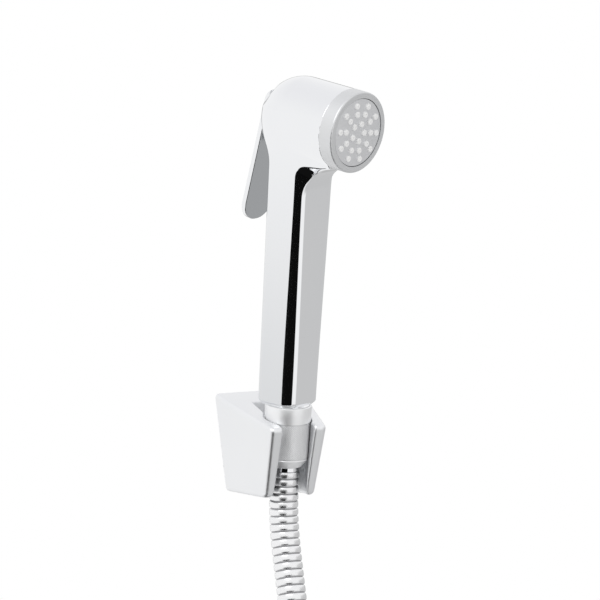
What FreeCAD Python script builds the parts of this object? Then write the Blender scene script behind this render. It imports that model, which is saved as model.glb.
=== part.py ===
import FreeCAD, Part
import Sketcher
import math
import os
import re
from FreeCAD import Placement, Rotation, Vector

# Hand-held bidet shower with thumb lever, its wall holder and its metal hose.
# Millimetres, +Z up. The origin is the middle of the holder's wall face, the wall is the plane Y = 0,
# and the holder stands out from it towards -Y.

doc = FreeCAD.newDocument("BidetShower")
sheet = doc.addObject("Spreadsheet::Sheet", "Sizes")

driving_sizes = [
    # wall holder
    ("holder_height", 48.4),
    ("holder_width", 42.4),
    ("holder_side_draft", 5.8),
    ("holder_nose_draft", 8.9),
    ("holder_top_depth", 45.5),
    ("holder_top_slope", 18.2),
    ("holder_foot_depth", 32.6),
    ("holder_foot_slope", 2.7),
    ("holder_back_round", 3.0),
    ("holder_edge_round", 1.6),
    ("bore_lean", 10.0),
    ("bore_stand_off", 33.7),
    ("seam_height", 20.2),
    ("bore_clearance", 0.3),
    ("bore_rim_bevel", 1.2),
    ("slot_width", 16.9),
    ("recess_width", 19.0),
    ("recess_wall", 12.6),
    ("recess_depth", 7.0),
    ("core_wall", 3.0),
    ("core_depth", 9.4),
    ("core_web", 14.0),
    ("screw_level", -7.0),
    ("screw_radius", 2.1),
    ("screw_hole_gap", 0.15),
    ("screw_head_radius", 4.2),
    ("screw_head_depth", 2.6),
    ("screw_seat_back", 13.0),
    ("screw_length", 40.0),
    ("cross_width", 1.1),
    ("cross_depth", 1.6),
    ("plug_radius", 3.9),
    ("plug_length", 31.0),
    ("plug_lip_depth", 0.8),
    ("plug_lip_gap", 0.35),
    # handset shell
    ("handle_width", 25.7),
    ("handle_depth", 21.2),
    ("handle_draft", 0.35),
    ("front_bevel", 3.0),
    ("rear_round", 4.0),
    ("foot_bevel", 2.1),
    ("neck_round", 6.5),
    ("head_radius", 20.0),
    ("head_height", 142.5),
    ("head_reach", 34.5),
    ("head_tilt", 2.5),
    ("water_bore_radius", 7.8),
    ("water_bore_top", 117.0),
    ("handset_turn", 23.0),
    # spray face
    ("ring_depth", 7.6),
    ("ring_wall", 1.8),
    ("ring_lip", 3.1),
    ("ring_lip_depth", 2.2),
    ("ring_edge_round", 0.9),
    ("screw_fit", 0.1),
    ("spigot_wall", 2.4),
    ("plate_inset", 0.15),
    ("plate_flange_depth", 1.0),
    ("mat_depth", 1.2),
    ("nub_radius", 1.55),
    ("nub_stand_out", 1.0),
    ("nub_hole_radius", 0.45),
    ("nub_fit", 0.08),
    ("outer_nubs", 10),
    ("outer_nub_circle", 13.5),
    ("outer_nub_start", 0.0),
    ("middle_nubs", 10),
    ("middle_nub_circle", 9.25),
    ("middle_nub_start", 0.0),
    ("inner_nubs", 5),
    ("inner_nub_circle", 4.4),
    ("inner_nub_start", 0.0),
    ("diffuser_depth", 1.6),
    ("diffuser_ledge", 1.0),
    ("diffuser_holes", 12),
    ("diffuser_hole_radius", 1.2),
    ("diffuser_hole_circle", 10.5),
    ("chamber_back", 10.0),
    ("face_seal_cord", 0.45),
    # valve
    ("valve_drop", 11.2),
    ("sleeve_radius", 6.5),
    ("sleeve_fit", 0.06),
    ("sleeve_front", 9.8),
    ("sleeve_rear", 13.0),
    ("spool_bore_radius", 4.5),
    ("flare_radius", 5.5),
    ("flare_start", 2.5),
    ("gland_bore_radius", 5.2),
    ("gland_depth", 3.5),
    ("port_radius", 2.0),
    ("port_back", 3.6),
    ("stem_radius", 2.0),
    ("stem_fit", 0.05),
    ("piston_fit", 0.08),
    ("piston_depth", 3.4),
    ("piston_front", 2.2),
    ("piston_seal_cord", 0.55),
    ("nose_radius", 1.5),
    ("nose_length", 3.2),
    ("gland_seal_cord", 1.2),
    ("spring_wire", 0.35),
    ("spring_radius", 3.1),
    ("spring_turns", 4),
    ("spring_end_gap", 0.1),
    ("seat_depth", 1.0),
    ("seat_hole_radius", 2.2),
    ("seat_ports", 6),
    ("seat_port_radius", 0.7),
    ("seat_port_circle", 4.1),
    # lever
    ("lever_width", 20.4),
    ("lever_depth", 3.0),
    ("lever_reach", 4.1),
    ("lever_length", 63.4),
    ("lever_lean", 11.6),
    ("lever_cap_turn", 63.0),
    ("lever_notch_turn", 6.0),
    ("lever_tip_round", 9.6),
    ("lever_gap", 0.4),
    ("pivot_back", 10.3),
    ("pivot_rise", 5.8),
    ("lug_width", 8.0),
    ("lug_radius", 3.0),
    ("pin_radius", 1.25),
    ("pin_fit", 0.05),
    ("pin_blind", 13.0),
    ("pin_length", 28.0),
    ("push_gap", 0.3),
    # water way
    ("thread_radius", 10.45),
    ("thread_length", 11.0),
    ("inlet_neck_length", 12.0),
    ("inlet_bore_radius", 4.6),
    ("inlet_fit", 0.08),
    ("inlet_seal_cord", 0.9),
    # conical nut
    ("nut_radius", 11.45),
    ("nut_foot_radius", 10.95),
    ("nut_length", 31.0),
    ("nut_seam", 0.3),
    ("nut_foot_bevel", 3.2),
    ("nut_foot_rise", 4.0),
    ("nut_chamber_radius", 9.6),
    ("nut_top_round", 0.5),
    ("collar_clearance", 0.3),
    # hose
    ("hose_radius", 7.1),
    ("rib_height", 0.75),
    ("rib_pitch", 3.86),
    ("rib_flank", 0.55),
    ("rib_groove", 0.3),
    ("first_run", 14.0),
    ("armour_bore_radius", 5.5),
    ("inner_tube_radius", 5.2),
    ("inner_tube_bore", 3.9),
    ("collar_radius", 6.85),
    ("collar_bore_radius", 5.4),
    ("collar_show", 2.0),
    ("flange_radius", 9.0),
    ("flange_depth", 3.0),
    ("tail_radius", 3.75),
    ("tail_length", 27.0),
    ("tail_bore_radius", 2.8),
    ("washer_depth", 2.0),
    ("washer_bore_radius", 5.0),
    ("straight_run", 16.0),
    ("forward_run", 18.0),
    ("forward_lean", 10.9),
    ("steep_run", 24.0),
    ("steep_lean", 13.0),
    ("ease_run", 25.9),
    ("ease_lean", 6.0),
    ("swing_run", 24.0),
    ("swing_turn", 15.0),
    ("coil_radius", 75.0),
    ("coil_pitch", 15.4),
    ("coil_start_angle", 45.0),
    ("coil_turns", 2.125),
    ("coil_end_run", 42.0),
    ("tie_angle", 33.0),
    ("tie_width", 10.0),
    ("tie_depth", 1.2),
    ("tie_clearance", 0.8),
    # far end
    ("end_collar_length", 16.0),
    ("end_collar_radius", 7.6),
    ("end_flange_radius", 8.6),
    ("end_flange_depth", 2.4),
    ("end_nut_flats", 24.0),
    ("end_nut_length", 15.0),
    ("end_nut_web", 2.7),
    ("end_thread_radius", 9.316),
    ("end_thread_length", 7.6),
    ("end_relief_radius", 9.9),
    ("end_nut_bevel", 1.4),
]

for row, (alias, value) in enumerate(driving_sizes, start=1):
    sheet.set(f"A{row}", alias)
    sheet.set(f"B{row}", str(value))
    sheet.setAlias(f"B{row}", alias)
doc.recompute()

alias_names = {alias for alias, value in driving_sizes}
sub_parts = []


def size(alias):
    return float(sheet.get(alias))


def bound(text):
    """The same sum, with each size read from the sheet."""
    def from_sheet(word):
        return "Sizes." + word.group() if word.group() in alias_names else word.group()
    return re.sub(r"[a-z][a-z_]+", from_sheet, text)


def bind(item, property_name, text):
    item.setExpression(property_name, bound(text))


# Along the bore, pieces are drawn upright, with +Z up the bore and the seam under the handle at Z = 0.
bore_place = Placement(Vector(0, -size("bore_stand_off"), size("seam_height")),
                       Rotation(Vector(1, 0, 0), size("bore_lean")))
turn_place = Placement(Vector(), Rotation(Vector(0, 0, 1), size("handset_turn")))
handset_place = bore_place.multiply(turn_place)

# The round head nods a little: its pieces are drawn level, then tilted about the middle of the head.
head_middle = Placement(Vector(0, 0, size("head_height")), Rotation(Vector(1, 0, 0), size("head_tilt")))
head_foot = Placement(Vector(0, 0, -size("head_height")), Rotation())
head_place = handset_place.multiply(head_middle).multiply(head_foot)


def new_body(label, place=Placement()):
    body = doc.addObject("PartDesign::Body", label)
    body.Label = label
    body.Placement = place
    sub_parts.append(body)
    return body


def own_plane(body, role):
    return [item for item in body.Origin.OriginFeatures if item.Role == role][0]


def new_sketch(body, name, role, right="0", up="0", out="0", turn="0", tilt=False):
    """A sketch on one of the body's own planes, moved by sums of sizes and turned or tilted."""
    sketch = body.newObject("Sketcher::SketchObject", name)
    sketch.AttachmentSupport = [(own_plane(body, role), "")]
    sketch.MapMode = "FlatFace"
    axis = Vector(1, 0, 0) if tilt else Vector(0, 0, 1)
    sketch.AttachmentOffset = Placement(Vector(), Rotation(axis, 10))
    bind(sketch, "AttachmentOffset.Base.x", right)
    bind(sketch, "AttachmentOffset.Base.y", up)
    bind(sketch, "AttachmentOffset.Base.z", out)
    bind(sketch, "AttachmentOffset.Rotation.Angle", turn)
    return sketch


def draw_outline(sketch, corners):
    """A closed outline of straight lines, each corner tied to sums of sizes."""
    count = len(corners)
    first = sketch.GeometryCount
    turn = 2 * math.pi / count
    draft = [Vector(10 + 5 * math.cos(turn * i), 10 + 5 * math.sin(turn * i), 0) for i in range(count)]
    for i in range(count):
        sketch.addGeometry(Part.LineSegment(draft[i], draft[(i + 1) % count]), False)
    for i, (right, up) in enumerate(corners):
        line = first + i
        sketch.addConstraint(Sketcher.Constraint("Coincident", line, 2, first + (i + 1) % count, 1))
        across = sketch.addConstraint(Sketcher.Constraint("DistanceX", -1, 1, line, 1, draft[i].x))
        bind(sketch, f"Constraints[{across}]", right)
        along = sketch.addConstraint(Sketcher.Constraint("DistanceY", -1, 1, line, 1, draft[i].y))
        bind(sketch, f"Constraints[{along}]", up)


def draw_rectangle(sketch, low_right, low_up, high_right, high_up):
    draw_outline(sketch, [
        (low_right, low_up), (high_right, low_up), (high_right, high_up), (low_right, high_up),
    ])


def draw_circle(sketch, right, up, radius):
    circle = sketch.addGeometry(Part.Circle(Vector(1, 1, 0), Vector(0, 0, 1), 1), False)
    across = sketch.addConstraint(Sketcher.Constraint("DistanceX", -1, 1, circle, 3, 1))
    bind(sketch, f"Constraints[{across}]", right)
    along = sketch.addConstraint(Sketcher.Constraint("DistanceY", -1, 1, circle, 3, 1))
    bind(sketch, f"Constraints[{along}]", up)
    wide = sketch.addConstraint(Sketcher.Constraint("Radius", circle, 1))
    bind(sketch, f"Constraints[{wide}]", radius)


def draw_circle_ring(sketch, count, ring_radius, start_angle, radius):
    for i in range(int(count)):
        angle = f"({start_angle} + {360 * i} / {int(count)})"
        draw_circle(sketch, f"{ring_radius} * cos({angle})", f"{ring_radius} * sin({angle})", radius)


def feature(body, kind, name, sketch):
    item = body.newObject("PartDesign::" + kind, name)
    item.Profile = sketch
    return item


def pad(body, name, sketch, length, midplane=False, backwards=False):
    item = feature(body, "Pad", name, sketch)
    item.Midplane = midplane
    item.Reversed = backwards
    bind(item, "Length", length)
    return item


def pocket(body, name, sketch, length, midplane=False, backwards=False):
    item = feature(body, "Pocket", name, sketch)
    item.Midplane = midplane
    item.Reversed = backwards
    bind(item, "Length", length)
    return item


def turned(body, name, corners, cut=False):
    """Turned about the body's Z axis: each corner is (radius, height)."""
    sketch = new_sketch(body, name + "Profile", "XZ_Plane")
    draw_outline(sketch, corners)
    item = feature(body, "Groove" if cut else "Revolution", name, sketch)
    item.ReferenceAxis = (sketch, ["V_Axis"])
    item.Angle = 360
    return item


def turned_forward(body, name, level, corners, cut=False, nod="0"):
    """Turned about a line that runs to the front, level or nodding: each corner is (back, radius)."""
    sketch = new_sketch(body, name + "Profile", "YZ_Plane", up=level, turn=nod)
    draw_outline(sketch, corners)
    item = feature(body, "Groove" if cut else "Revolution", name, sketch)
    item.ReferenceAxis = (sketch, ["H_Axis"])
    item.Angle = 360
    return item


def edge_names(item, wanted):
    doc.recompute()
    return [f"Edge{i}" for i, edge in enumerate(item.Shape.Edges, start=1) if wanted(edge)]


def soften(body, kind, name, base, wanted, amount):
    """A Fillet or a Chamfer on the edges that are wanted."""
    item = body.newObject("PartDesign::" + kind, name)
    item.Base = (base, edge_names(base, wanted))
    bind(item, "Radius" if kind == "Fillet" else "Size", amount)
    doc.recompute()
    return item


def taper_faces(body, name, base, role, wanted, angle, widen):
    """Tilts faces about one of the body's own planes; it only settles at its second recompute."""
    doc.recompute()
    item = body.newObject("PartDesign::Draft", name)
    item.Base = (base, [f"Face{i}" for i, face in enumerate(base.Shape.Faces, start=1) if wanted(face)])
    item.NeutralPlane = (own_plane(body, role), [""])
    item.Reversed = widen
    bind(item, "Angle", angle)
    doc.recompute()
    item.touch()
    doc.recompute()
    return item


def edge_middle(edge):
    return edge.valueAt((edge.FirstParameter + edge.LastParameter) / 2)


def edge_direction(edge):
    return edge.tangentAt((edge.FirstParameter + edge.LastParameter) / 2)


def ring_seal(label, place, along, outer_radius, cord, level=None):
    """A round rubber ring about the bore line, or about a line at a level that runs to the front."""
    body = new_body(label, place)
    if level is None:
        sketch = new_sketch(body, "CordProfile", "XZ_Plane")
        draw_circle(sketch, f"{outer_radius} - {cord}", along, cord)
    else:
        sketch = new_sketch(body, "CordProfile", "YZ_Plane", up=level)
        draw_circle(sketch, along, f"{outer_radius} - {cord}", cord)
    ring = feature(body, "Revolution", "Cord", sketch)
    ring.ReferenceAxis = (sketch, ["V_Axis" if level is None else "H_Axis"])
    ring.Angle = 360
    doc.recompute()
    return body


# Wall holder: a wedge-shaped block, open in front, with the leaning bore that the conical nut sits in.

def nut_radius_at(depth):
    """Radius of the conical nut, as a sum of sizes, at a depth below the seam."""
    return f"(nut_radius - (nut_radius - nut_foot_radius) * ({depth}) / nut_length)"


def make_wall_holder():
    body = new_body("wall_holder")
    side = new_sketch(body, "SideProfile", "YZ_Plane")
    draw_outline(side, [
        ("0", "holder_height / 2"),
        ("0", "-holder_height / 2"),
        ("-holder_foot_depth", "-holder_height / 2 - holder_foot_depth * tan(holder_foot_slope)"),
        ("-holder_top_depth", "holder_height / 2 - holder_top_depth * tan(holder_top_slope)"),
    ])
    block = pad(body, "Block", side, "holder_width", midplane=True)

    def at_side(face):
        return abs(face.CenterOfMass.x) > size("holder_width") / 4

    sides = taper_faces(body, "SideTaper", block, "XY_Plane", at_side, "holder_side_draft", True)
    nose = taper_faces(body, "NoseTaper", sides, "XZ_Plane", at_side, "holder_nose_draft", False)

    def across_at_wall(edge):
        return abs(edge_direction(edge).x) > 0.9 and edge_middle(edge).y > -0.1

    def outer(edge):
        return abs(edge_middle(edge).y) > 0.1

    backs = soften(body, "Fillet", "BackRounds", nose, across_at_wall, "holder_back_round")
    soften(body, "Fillet", "EdgeRounds", backs, outer, "holder_edge_round")

    bore = new_sketch(body, "BoreProfile", "YZ_Plane", "-bore_stand_off", "seam_height", "0", "bore_lean")
    bore_top = "holder_height / 2"
    bore_foot = "holder_height * 1.5"
    draw_outline(bore, [
        ("0", bore_top),
        (nut_radius_at("-" + bore_top) + " + bore_clearance", bore_top),
        (nut_radius_at(bore_foot) + " + bore_clearance", "-" + bore_foot),
        ("0", "-" + bore_foot),
    ])
    bore_cut = feature(body, "Groove", "Bore", bore)
    bore_cut.ReferenceAxis = (bore, ["V_Axis"])
    bore_cut.Angle = 360

    top_fall = size("holder_top_depth") * math.tan(math.radians(size("holder_top_slope")))

    def at_rim(edge):
        middle = edge_middle(edge)
        across = math.hypot(middle.x, middle.y + size("bore_stand_off"))
        on_top = middle.z > size("holder_height") / 2 - 1.1 * top_fall
        return on_top and across < 1.3 * size("nut_radius") and edge.Length > size("nut_radius")

    soften(body, "Chamfer", "RimBevel", bore_cut, at_rim, "bore_rim_bevel")

    slot = new_sketch(body, "SlotProfile", "YZ_Plane", "-bore_stand_off", "seam_height", "0", "bore_lean")
    draw_rectangle(slot, "-holder_top_depth", "-" + bore_foot, "0", bore_top)
    pocket(body, "Slot", slot, "slot_width", midplane=True)
    doc.recompute()

    recess = new_sketch(body, "RecessProfile", "YZ_Plane")
    recess_floor = "holder_height / 2 - recess_depth - recess_wall * tan(holder_top_slope)"
    draw_rectangle(recess, "-bore_stand_off", recess_floor, "-recess_wall", "holder_height")
    pocket(body, "Recess", recess, "recess_width", midplane=True)

    core = new_sketch(body, "CoreProfile", "XZ_Plane")
    nose_loss = "core_depth * tan(holder_nose_draft)"
    side_gain = "holder_height / 2 * tan(holder_side_draft)"
    top_half = f"(holder_width / 2 + {side_gain} - core_wall - {nose_loss})"
    foot_half = f"(holder_width / 2 - {side_gain} - core_wall - {nose_loss})"
    top_level = "holder_height / 2 - core_wall - core_depth * tan(holder_top_slope)"
    foot_level = "-holder_height / 2 + core_wall"
    for side in ("", "-"):
        draw_outline(core, [(side + "core_web / 2", foot_level), (side + foot_half, foot_level),
                            (side + top_half, top_level), (side + "core_web / 2", top_level)])
    pocket(body, "Core", core, "core_depth", backwards=True)

    hole = new_sketch(body, "ScrewHoleProfile", "XZ_Plane")
    draw_circle(hole, "0", "screw_level", "screw_radius + screw_hole_gap")
    pocket(body, "ScrewHole", hole, "bore_stand_off", backwards=True)
    lip = new_sketch(body, "PlugLipProfile", "XZ_Plane")
    draw_circle(lip, "0", "screw_level", "plug_radius + plug_lip_gap")
    pocket(body, "PlugLip", lip, "plug_lip_depth + plug_lip_gap", backwards=True)
    seat = new_sketch(body, "ScrewSeatProfile", "XZ_Plane", out="screw_seat_back")
    draw_circle(seat, "0", "screw_level", "screw_head_radius + 2 * screw_hole_gap")
    pocket(body, "ScrewSeat", seat, "bore_stand_off", backwards=True)
    doc.recompute()
    return body


def make_holder_screw():
    body = new_body("holder_screw")
    turned_forward(body, "Screw", "screw_level", [
        ("-screw_seat_back - screw_head_depth", "0"),
        ("-screw_seat_back - screw_head_depth", "screw_head_radius * 0.8"),
        ("-screw_seat_back - screw_head_depth * 0.6", "screw_head_radius"),
        ("-screw_seat_back", "screw_head_radius"),
        ("-screw_seat_back", "screw_radius"),
        ("-screw_seat_back + screw_length - 2 * screw_radius", "screw_radius"),
        ("-screw_seat_back + screw_length", "0"),
    ])
    cross = new_sketch(body, "CrossProfile", "XZ_Plane", out="screw_seat_back + screw_head_depth - cross_depth")
    reach = "screw_head_radius * 0.6"
    half = "cross_width / 2"
    draw_outline(cross, [
        ("-" + half, "screw_level - " + reach), (half, "screw_level - " + reach),
        (half, "screw_level - " + half), (reach, "screw_level - " + half),
        (reach, "screw_level + " + half), (half, "screw_level + " + half),
        (half, "screw_level + " + reach), ("-" + half, "screw_level + " + reach),
        ("-" + half, "screw_level + " + half), ("-" + reach, "screw_level + " + half),
        ("-" + reach, "screw_level - " + half), ("-" + half, "screw_level - " + half),
    ])
    pocket(body, "Cross", cross, "2 * cross_depth", backwards=True)
    doc.recompute()
    return body


def make_wall_plug():
    body = new_body("wall_plug")
    turned_forward(body, "Plug", "screw_level", [
        ("-plug_lip_depth", "screw_radius"),
        ("-plug_lip_depth", "plug_radius - plug_lip_gap"),
        ("plug_lip_gap", "plug_radius - plug_lip_gap"),
        ("plug_lip_gap", "plug_radius"),
        ("plug_length * 0.8", "plug_radius"),
        ("plug_length", "plug_radius * 0.75"),
        ("plug_length", "screw_radius"),
    ])
    doc.recompute()
    return body


make_wall_holder()
make_holder_screw()
make_wall_plug()


# Handset: a cast chrome body whose square handle runs into a round head.
# The head's front is stacked from the ring's lip backwards: plate, rubber mat, spigot.

plate_front = "head_reach - plate_inset"
flange_front = "(head_reach - ring_lip_depth - screw_fit)"
mat_front = "(head_reach - ring_lip_depth - screw_fit - plate_flange_depth)"
spigot_front = f"-{mat_front} + mat_depth"
chamber_radius = "head_radius - ring_wall - screw_fit - spigot_wall"
face_seal_middle = f"({spigot_front} - head_reach + ring_depth) / 2"
valve_level = "(head_height - valve_drop)"
pivot_level = "(head_height + pivot_rise)"

def make_handset_shell():
    body = new_body("handset_shell", handset_place)
    section = new_sketch(body, "HandleSection", "XY_Plane")
    draw_rectangle(section, "-handle_width / 2", "-handle_depth / 2", "handle_width / 2", "handle_depth / 2")
    handle = pad(body, "Handle", section, "head_height")
    taper = taper_faces(body, "HandleTaper", handle, "XY_Plane",
                        lambda face: abs(face.normalAt(0, 0).z) < 0.5, "handle_draft", True)

    def upright(edge):
        return abs(edge_direction(edge).z) > 0.9

    def at_foot(edge):
        return abs(edge_middle(edge).z) < 0.01 and abs(edge_direction(edge).z) < 0.1

    bevels = soften(body, "Chamfer", "FrontBevels", taper,
                    lambda edge: upright(edge) and edge_middle(edge).y < 0, "front_bevel")
    rounds = soften(body, "Fillet", "RearRounds", bevels,
                    lambda edge: upright(edge) and edge_middle(edge).y > size("handle_depth") / 4, "rear_round")
    soften(body, "Chamfer", "FootBevel", rounds, at_foot, "foot_bevel")

    head_sketch = new_sketch(body, "HeadProfile", "YZ_Plane", up="head_height", turn="head_tilt")
    radius = size("head_radius")
    front = -size("head_reach") + size("ring_depth")
    quarter = Part.ArcOfCircle(Part.Circle(Vector(), Vector(0, 0, 1), radius), 0, math.pi / 2)
    dome = head_sketch.addGeometry(quarter, False)
    top = head_sketch.addGeometry(Part.LineSegment(Vector(0, radius, 0), Vector(front, radius, 0)), False)
    face = head_sketch.addGeometry(Part.LineSegment(Vector(front, radius, 0), Vector(front, 0, 0)), False)
    middle = head_sketch.addGeometry(Part.LineSegment(Vector(front, 0, 0), Vector(radius, 0, 0)), False)
    for rule in (("Coincident", dome, 3, -1, 1), ("Coincident", dome, 2, top, 1),
                 ("Coincident", top, 2, face, 1), ("Coincident", face, 2, middle, 1),
                 ("Coincident", middle, 2, dome, 1), ("PointOnObject", dome, 1, -1),
                 ("PointOnObject", dome, 2, -2), ("Horizontal", top), ("Vertical", face),
                 ("PointOnObject", face, 2, -1)):
        head_sketch.addConstraint(Sketcher.Constraint(*rule))
    wide = head_sketch.addConstraint(Sketcher.Constraint("Radius", dome, radius))
    bind(head_sketch, f"Constraints[{wide}]", "head_radius")
    reach = head_sketch.addConstraint(Sketcher.Constraint("DistanceX", face, 1, -1, 1, -front))
    bind(head_sketch, f"Constraints[{reach}]", "head_reach - ring_depth")
    head = feature(body, "Revolution", "Head", head_sketch)
    head.ReferenceAxis = (head_sketch, ["H_Axis"])
    head.Angle = 360
    doc.recompute()

    head_level = size("head_height")
    unturned = Rotation(Vector(1, 0, 0), -size("head_tilt"))

    def on_head(point):
        level_point = unturned.multVec(point - Vector(0, 0, head_level))
        if level_point.y > 0:
            return abs(level_point.Length - radius) < 0.01
        return abs(math.hypot(level_point.x, level_point.z) - radius) < 0.01

    def at_neck(edge):
        steps = [edge.FirstParameter + (edge.LastParameter - edge.FirstParameter) * k / 4 for k in range(5)]
        points = [edge.valueAt(step) for step in steps]
        if all(abs(unturned.multVec(point - Vector(0, 0, head_level)).y) < 0.01 for point in points):
            return False
        spread = head_level * math.tan(math.radians(size("handle_draft"))) + 0.1
        return all(on_head(point) and point.z < head_level - radius / 8
                   and abs(point.x) < size("handle_width") / 2 + spread
                   and abs(point.y) < size("handle_depth") / 2 + spread for point in points)

    soften(body, "Fillet", "NeckRound", head, at_neck, "neck_round")

    turned_forward(body, "Spigot", "head_height", [
        ("-chamber_back", "0"),
        ("-chamber_back", "head_radius - ring_wall - screw_fit"),
        (spigot_front, "head_radius - ring_wall - screw_fit"),
        (spigot_front, "0"),
    ], nod="head_tilt")
    ledge = spigot_front + " + diffuser_depth"
    turned_forward(body, "Chamber", "head_height", [
        ("-head_reach", "0"),
        ("-head_reach", chamber_radius),
        (ledge, chamber_radius),
        (ledge, chamber_radius + " - diffuser_ledge"),
        ("-chamber_back", chamber_radius + " - diffuser_ledge"),
        ("-chamber_back", "0"),
    ], cut=True, nod="head_tilt")
    groove_middle = face_seal_middle
    turned_forward(body, "FaceSealGroove", "head_height", [
        (groove_middle + " - 1.3 * face_seal_cord", "head_radius"),
        (groove_middle + " - 1.3 * face_seal_cord", "head_radius - ring_wall - 2 * face_seal_cord"),
        (groove_middle + " + 1.3 * face_seal_cord", "head_radius - ring_wall - 2 * face_seal_cord"),
        (groove_middle + " + 1.3 * face_seal_cord", "head_radius"),
    ], cut=True, nod="head_tilt")
    turned_forward(body, "ValveBore", valve_level, [
        ("-chamber_back - 1", "0"),
        ("-chamber_back - 1", "sleeve_radius + sleeve_fit"),
        ("head_radius", "sleeve_radius + sleeve_fit"),
        ("head_radius", "0"),
    ], cut=True)

    lever_bay = new_sketch(body, "LeverBayProfile", "YZ_Plane", "pivot_back", pivot_level)
    floor = "(lever_reach - lever_gap)"
    hub = "(lug_radius + lever_gap)"
    slope = "(lever_lean + lever_cap_turn + lever_notch_turn)"
    draw_outline(lever_bay, [
        (floor, "-head_radius - 2 * pivot_rise"),
        (floor, "-" + hub),
        ("-" + hub, "-" + hub),
        ("-" + hub, hub),
        (f"{hub} / tan({slope})", hub),
        (f"head_radius / tan({slope})", "head_radius"),
        ("2 * head_radius", "head_radius"),
        ("2 * head_radius", "-head_radius - 2 * pivot_rise"),
    ])
    pocket(body, "LeverBay", lever_bay, "lever_width + 2 * lever_gap", midplane=True)
    pin_hole = new_sketch(body, "PinHoleProfile", "YZ_Plane", "pivot_back", pivot_level, "-pin_blind")
    draw_circle(pin_hole, "0", "0", "pin_radius")
    pocket(body, "PinHole", pin_hole, "2 * head_radius", backwards=True)

    turned(body, "WaterBore", [
        ("0", "-1"), ("water_bore_radius", "-1"),
        ("water_bore_radius", "water_bore_top"), ("0", "water_bore_top"),
    ], cut=True)
    port = new_sketch(body, "PortProfile", "XY_Plane", out="water_bore_top")
    draw_circle(port, "0", "port_back", "port_radius")
    pocket(body, "Port", port, valve_level + " - water_bore_top", backwards=True)
    doc.recompute()
    return body


make_handset_shell()


def make_face_ring():
    body = new_body("face_ring", head_place)
    back = "-head_reach + ring_depth"
    ring = turned_forward(body, "Ring", "head_height", [
        (back, "head_radius - ring_wall"),
        (back, "head_radius"),
        ("-head_reach", "head_radius"),
        ("-head_reach", "head_radius - ring_lip"),
        ("-head_reach + ring_lip_depth", "head_radius - ring_lip"),
        ("-head_reach + ring_lip_depth", "head_radius - ring_wall"),
    ])

    def front_edge(edge):
        in_front = abs(edge_middle(edge).y + size("head_reach")) < 0.01
        return in_front and edge.Length > 6 * size("head_radius")

    soften(body, "Fillet", "RingEdge", ring, front_edge, "ring_edge_round")
    return body


def draw_nubs(sketch, radius):
    draw_circle_ring(sketch, size("outer_nubs"), "outer_nub_circle", "outer_nub_start", radius)
    draw_circle_ring(sketch, size("middle_nubs"), "middle_nub_circle", "middle_nub_start", radius)
    draw_circle_ring(sketch, size("inner_nubs"), "inner_nub_circle", "inner_nub_start", radius)


def make_spray_plate():
    body = new_body("spray_plate", head_place)
    turned_forward(body, "Plate", "head_height", [
        ("-(" + plate_front + ")", "0"),
        ("-(" + plate_front + ")", "head_radius - ring_lip - 2 * screw_fit"),
        ("-" + flange_front, "head_radius - ring_lip - 2 * screw_fit"),
        ("-" + flange_front, "head_radius - ring_wall - 2 * screw_fit"),
        ("-" + mat_front, "head_radius - ring_wall - 2 * screw_fit"),
        ("-" + mat_front, "0"),
    ])
    holes = new_sketch(body, "NubHoles", "XZ_Plane", up="head_height", out=mat_front + " - 1")
    draw_nubs(holes, "nub_radius + nub_fit")
    pocket(body, "Holes", holes, "head_reach", backwards=True)
    doc.recompute()
    return body


def make_nozzle_mat():
    body = new_body("nozzle_mat", head_place)
    turned_forward(body, "Mat", "head_height", [
        ("-" + mat_front, "0"),
        ("-" + mat_front, "head_radius - ring_wall - 2 * screw_fit"),
        ("-" + mat_front + " + mat_depth", "head_radius - ring_wall - 2 * screw_fit"),
        ("-" + mat_front + " + mat_depth", "0"),
    ])
    nubs = new_sketch(body, "NubProfile", "XZ_Plane", up="head_height", out=mat_front + " - mat_depth")
    draw_nubs(nubs, "nub_radius")
    pad(body, "Nubs", nubs, f"mat_depth + {plate_front} + nub_stand_out - {mat_front}")
    jets = new_sketch(body, "JetProfile", "XZ_Plane", up="head_height", out=mat_front + " - 2 * mat_depth")
    draw_nubs(jets, "nub_hole_radius")
    pocket(body, "Jets", jets, "head_reach", backwards=True)
    doc.recompute()
    return body


def make_diffuser():
    body = new_body("diffuser", head_place)
    turned_forward(body, "Disc", "head_height", [
        (spigot_front, "0"),
        (spigot_front, chamber_radius + " - screw_fit"),
        (spigot_front + " + diffuser_depth", chamber_radius + " - screw_fit"),
        (spigot_front + " + diffuser_depth", "0"),
    ])
    holes = new_sketch(body, "HoleProfile", "XZ_Plane", up="head_height", out="head_reach")
    draw_circle_ring(holes, size("diffuser_holes"), "diffuser_hole_circle", "0", "diffuser_hole_radius")
    pocket(body, "Holes", holes, "head_reach")
    doc.recompute()
    return body


make_face_ring()
make_spray_plate()
make_nozzle_mat()
make_diffuser()
ring_seal("face_seal", head_place, face_seal_middle, "head_radius - ring_wall",
          "face_seal_cord", "head_height")


# Stop valve: a sleeve across the head, whose piston the lever pushes to the front.

def make_valve_sleeve():
    body = new_body("valve_sleeve", handset_place)
    turned_forward(body, "Sleeve", valve_level, [
        ("-sleeve_front", "flare_radius"),
        ("-sleeve_front", "sleeve_radius"),
        ("sleeve_rear", "sleeve_radius"),
        ("sleeve_rear", "gland_bore_radius"),
        ("sleeve_rear - gland_depth", "gland_bore_radius"),
        ("sleeve_rear - gland_depth", "spool_bore_radius"),
        ("-flare_start", "spool_bore_radius"),
        ("-flare_start - flare_radius + spool_bore_radius", "flare_radius"),
    ])
    port = new_sketch(body, "PortProfile", "XY_Plane", out=valve_level)
    draw_circle(port, "0", "port_back", "port_radius")
    pocket(body, "Port", port, "2 * sleeve_radius")
    doc.recompute()
    return body


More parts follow.
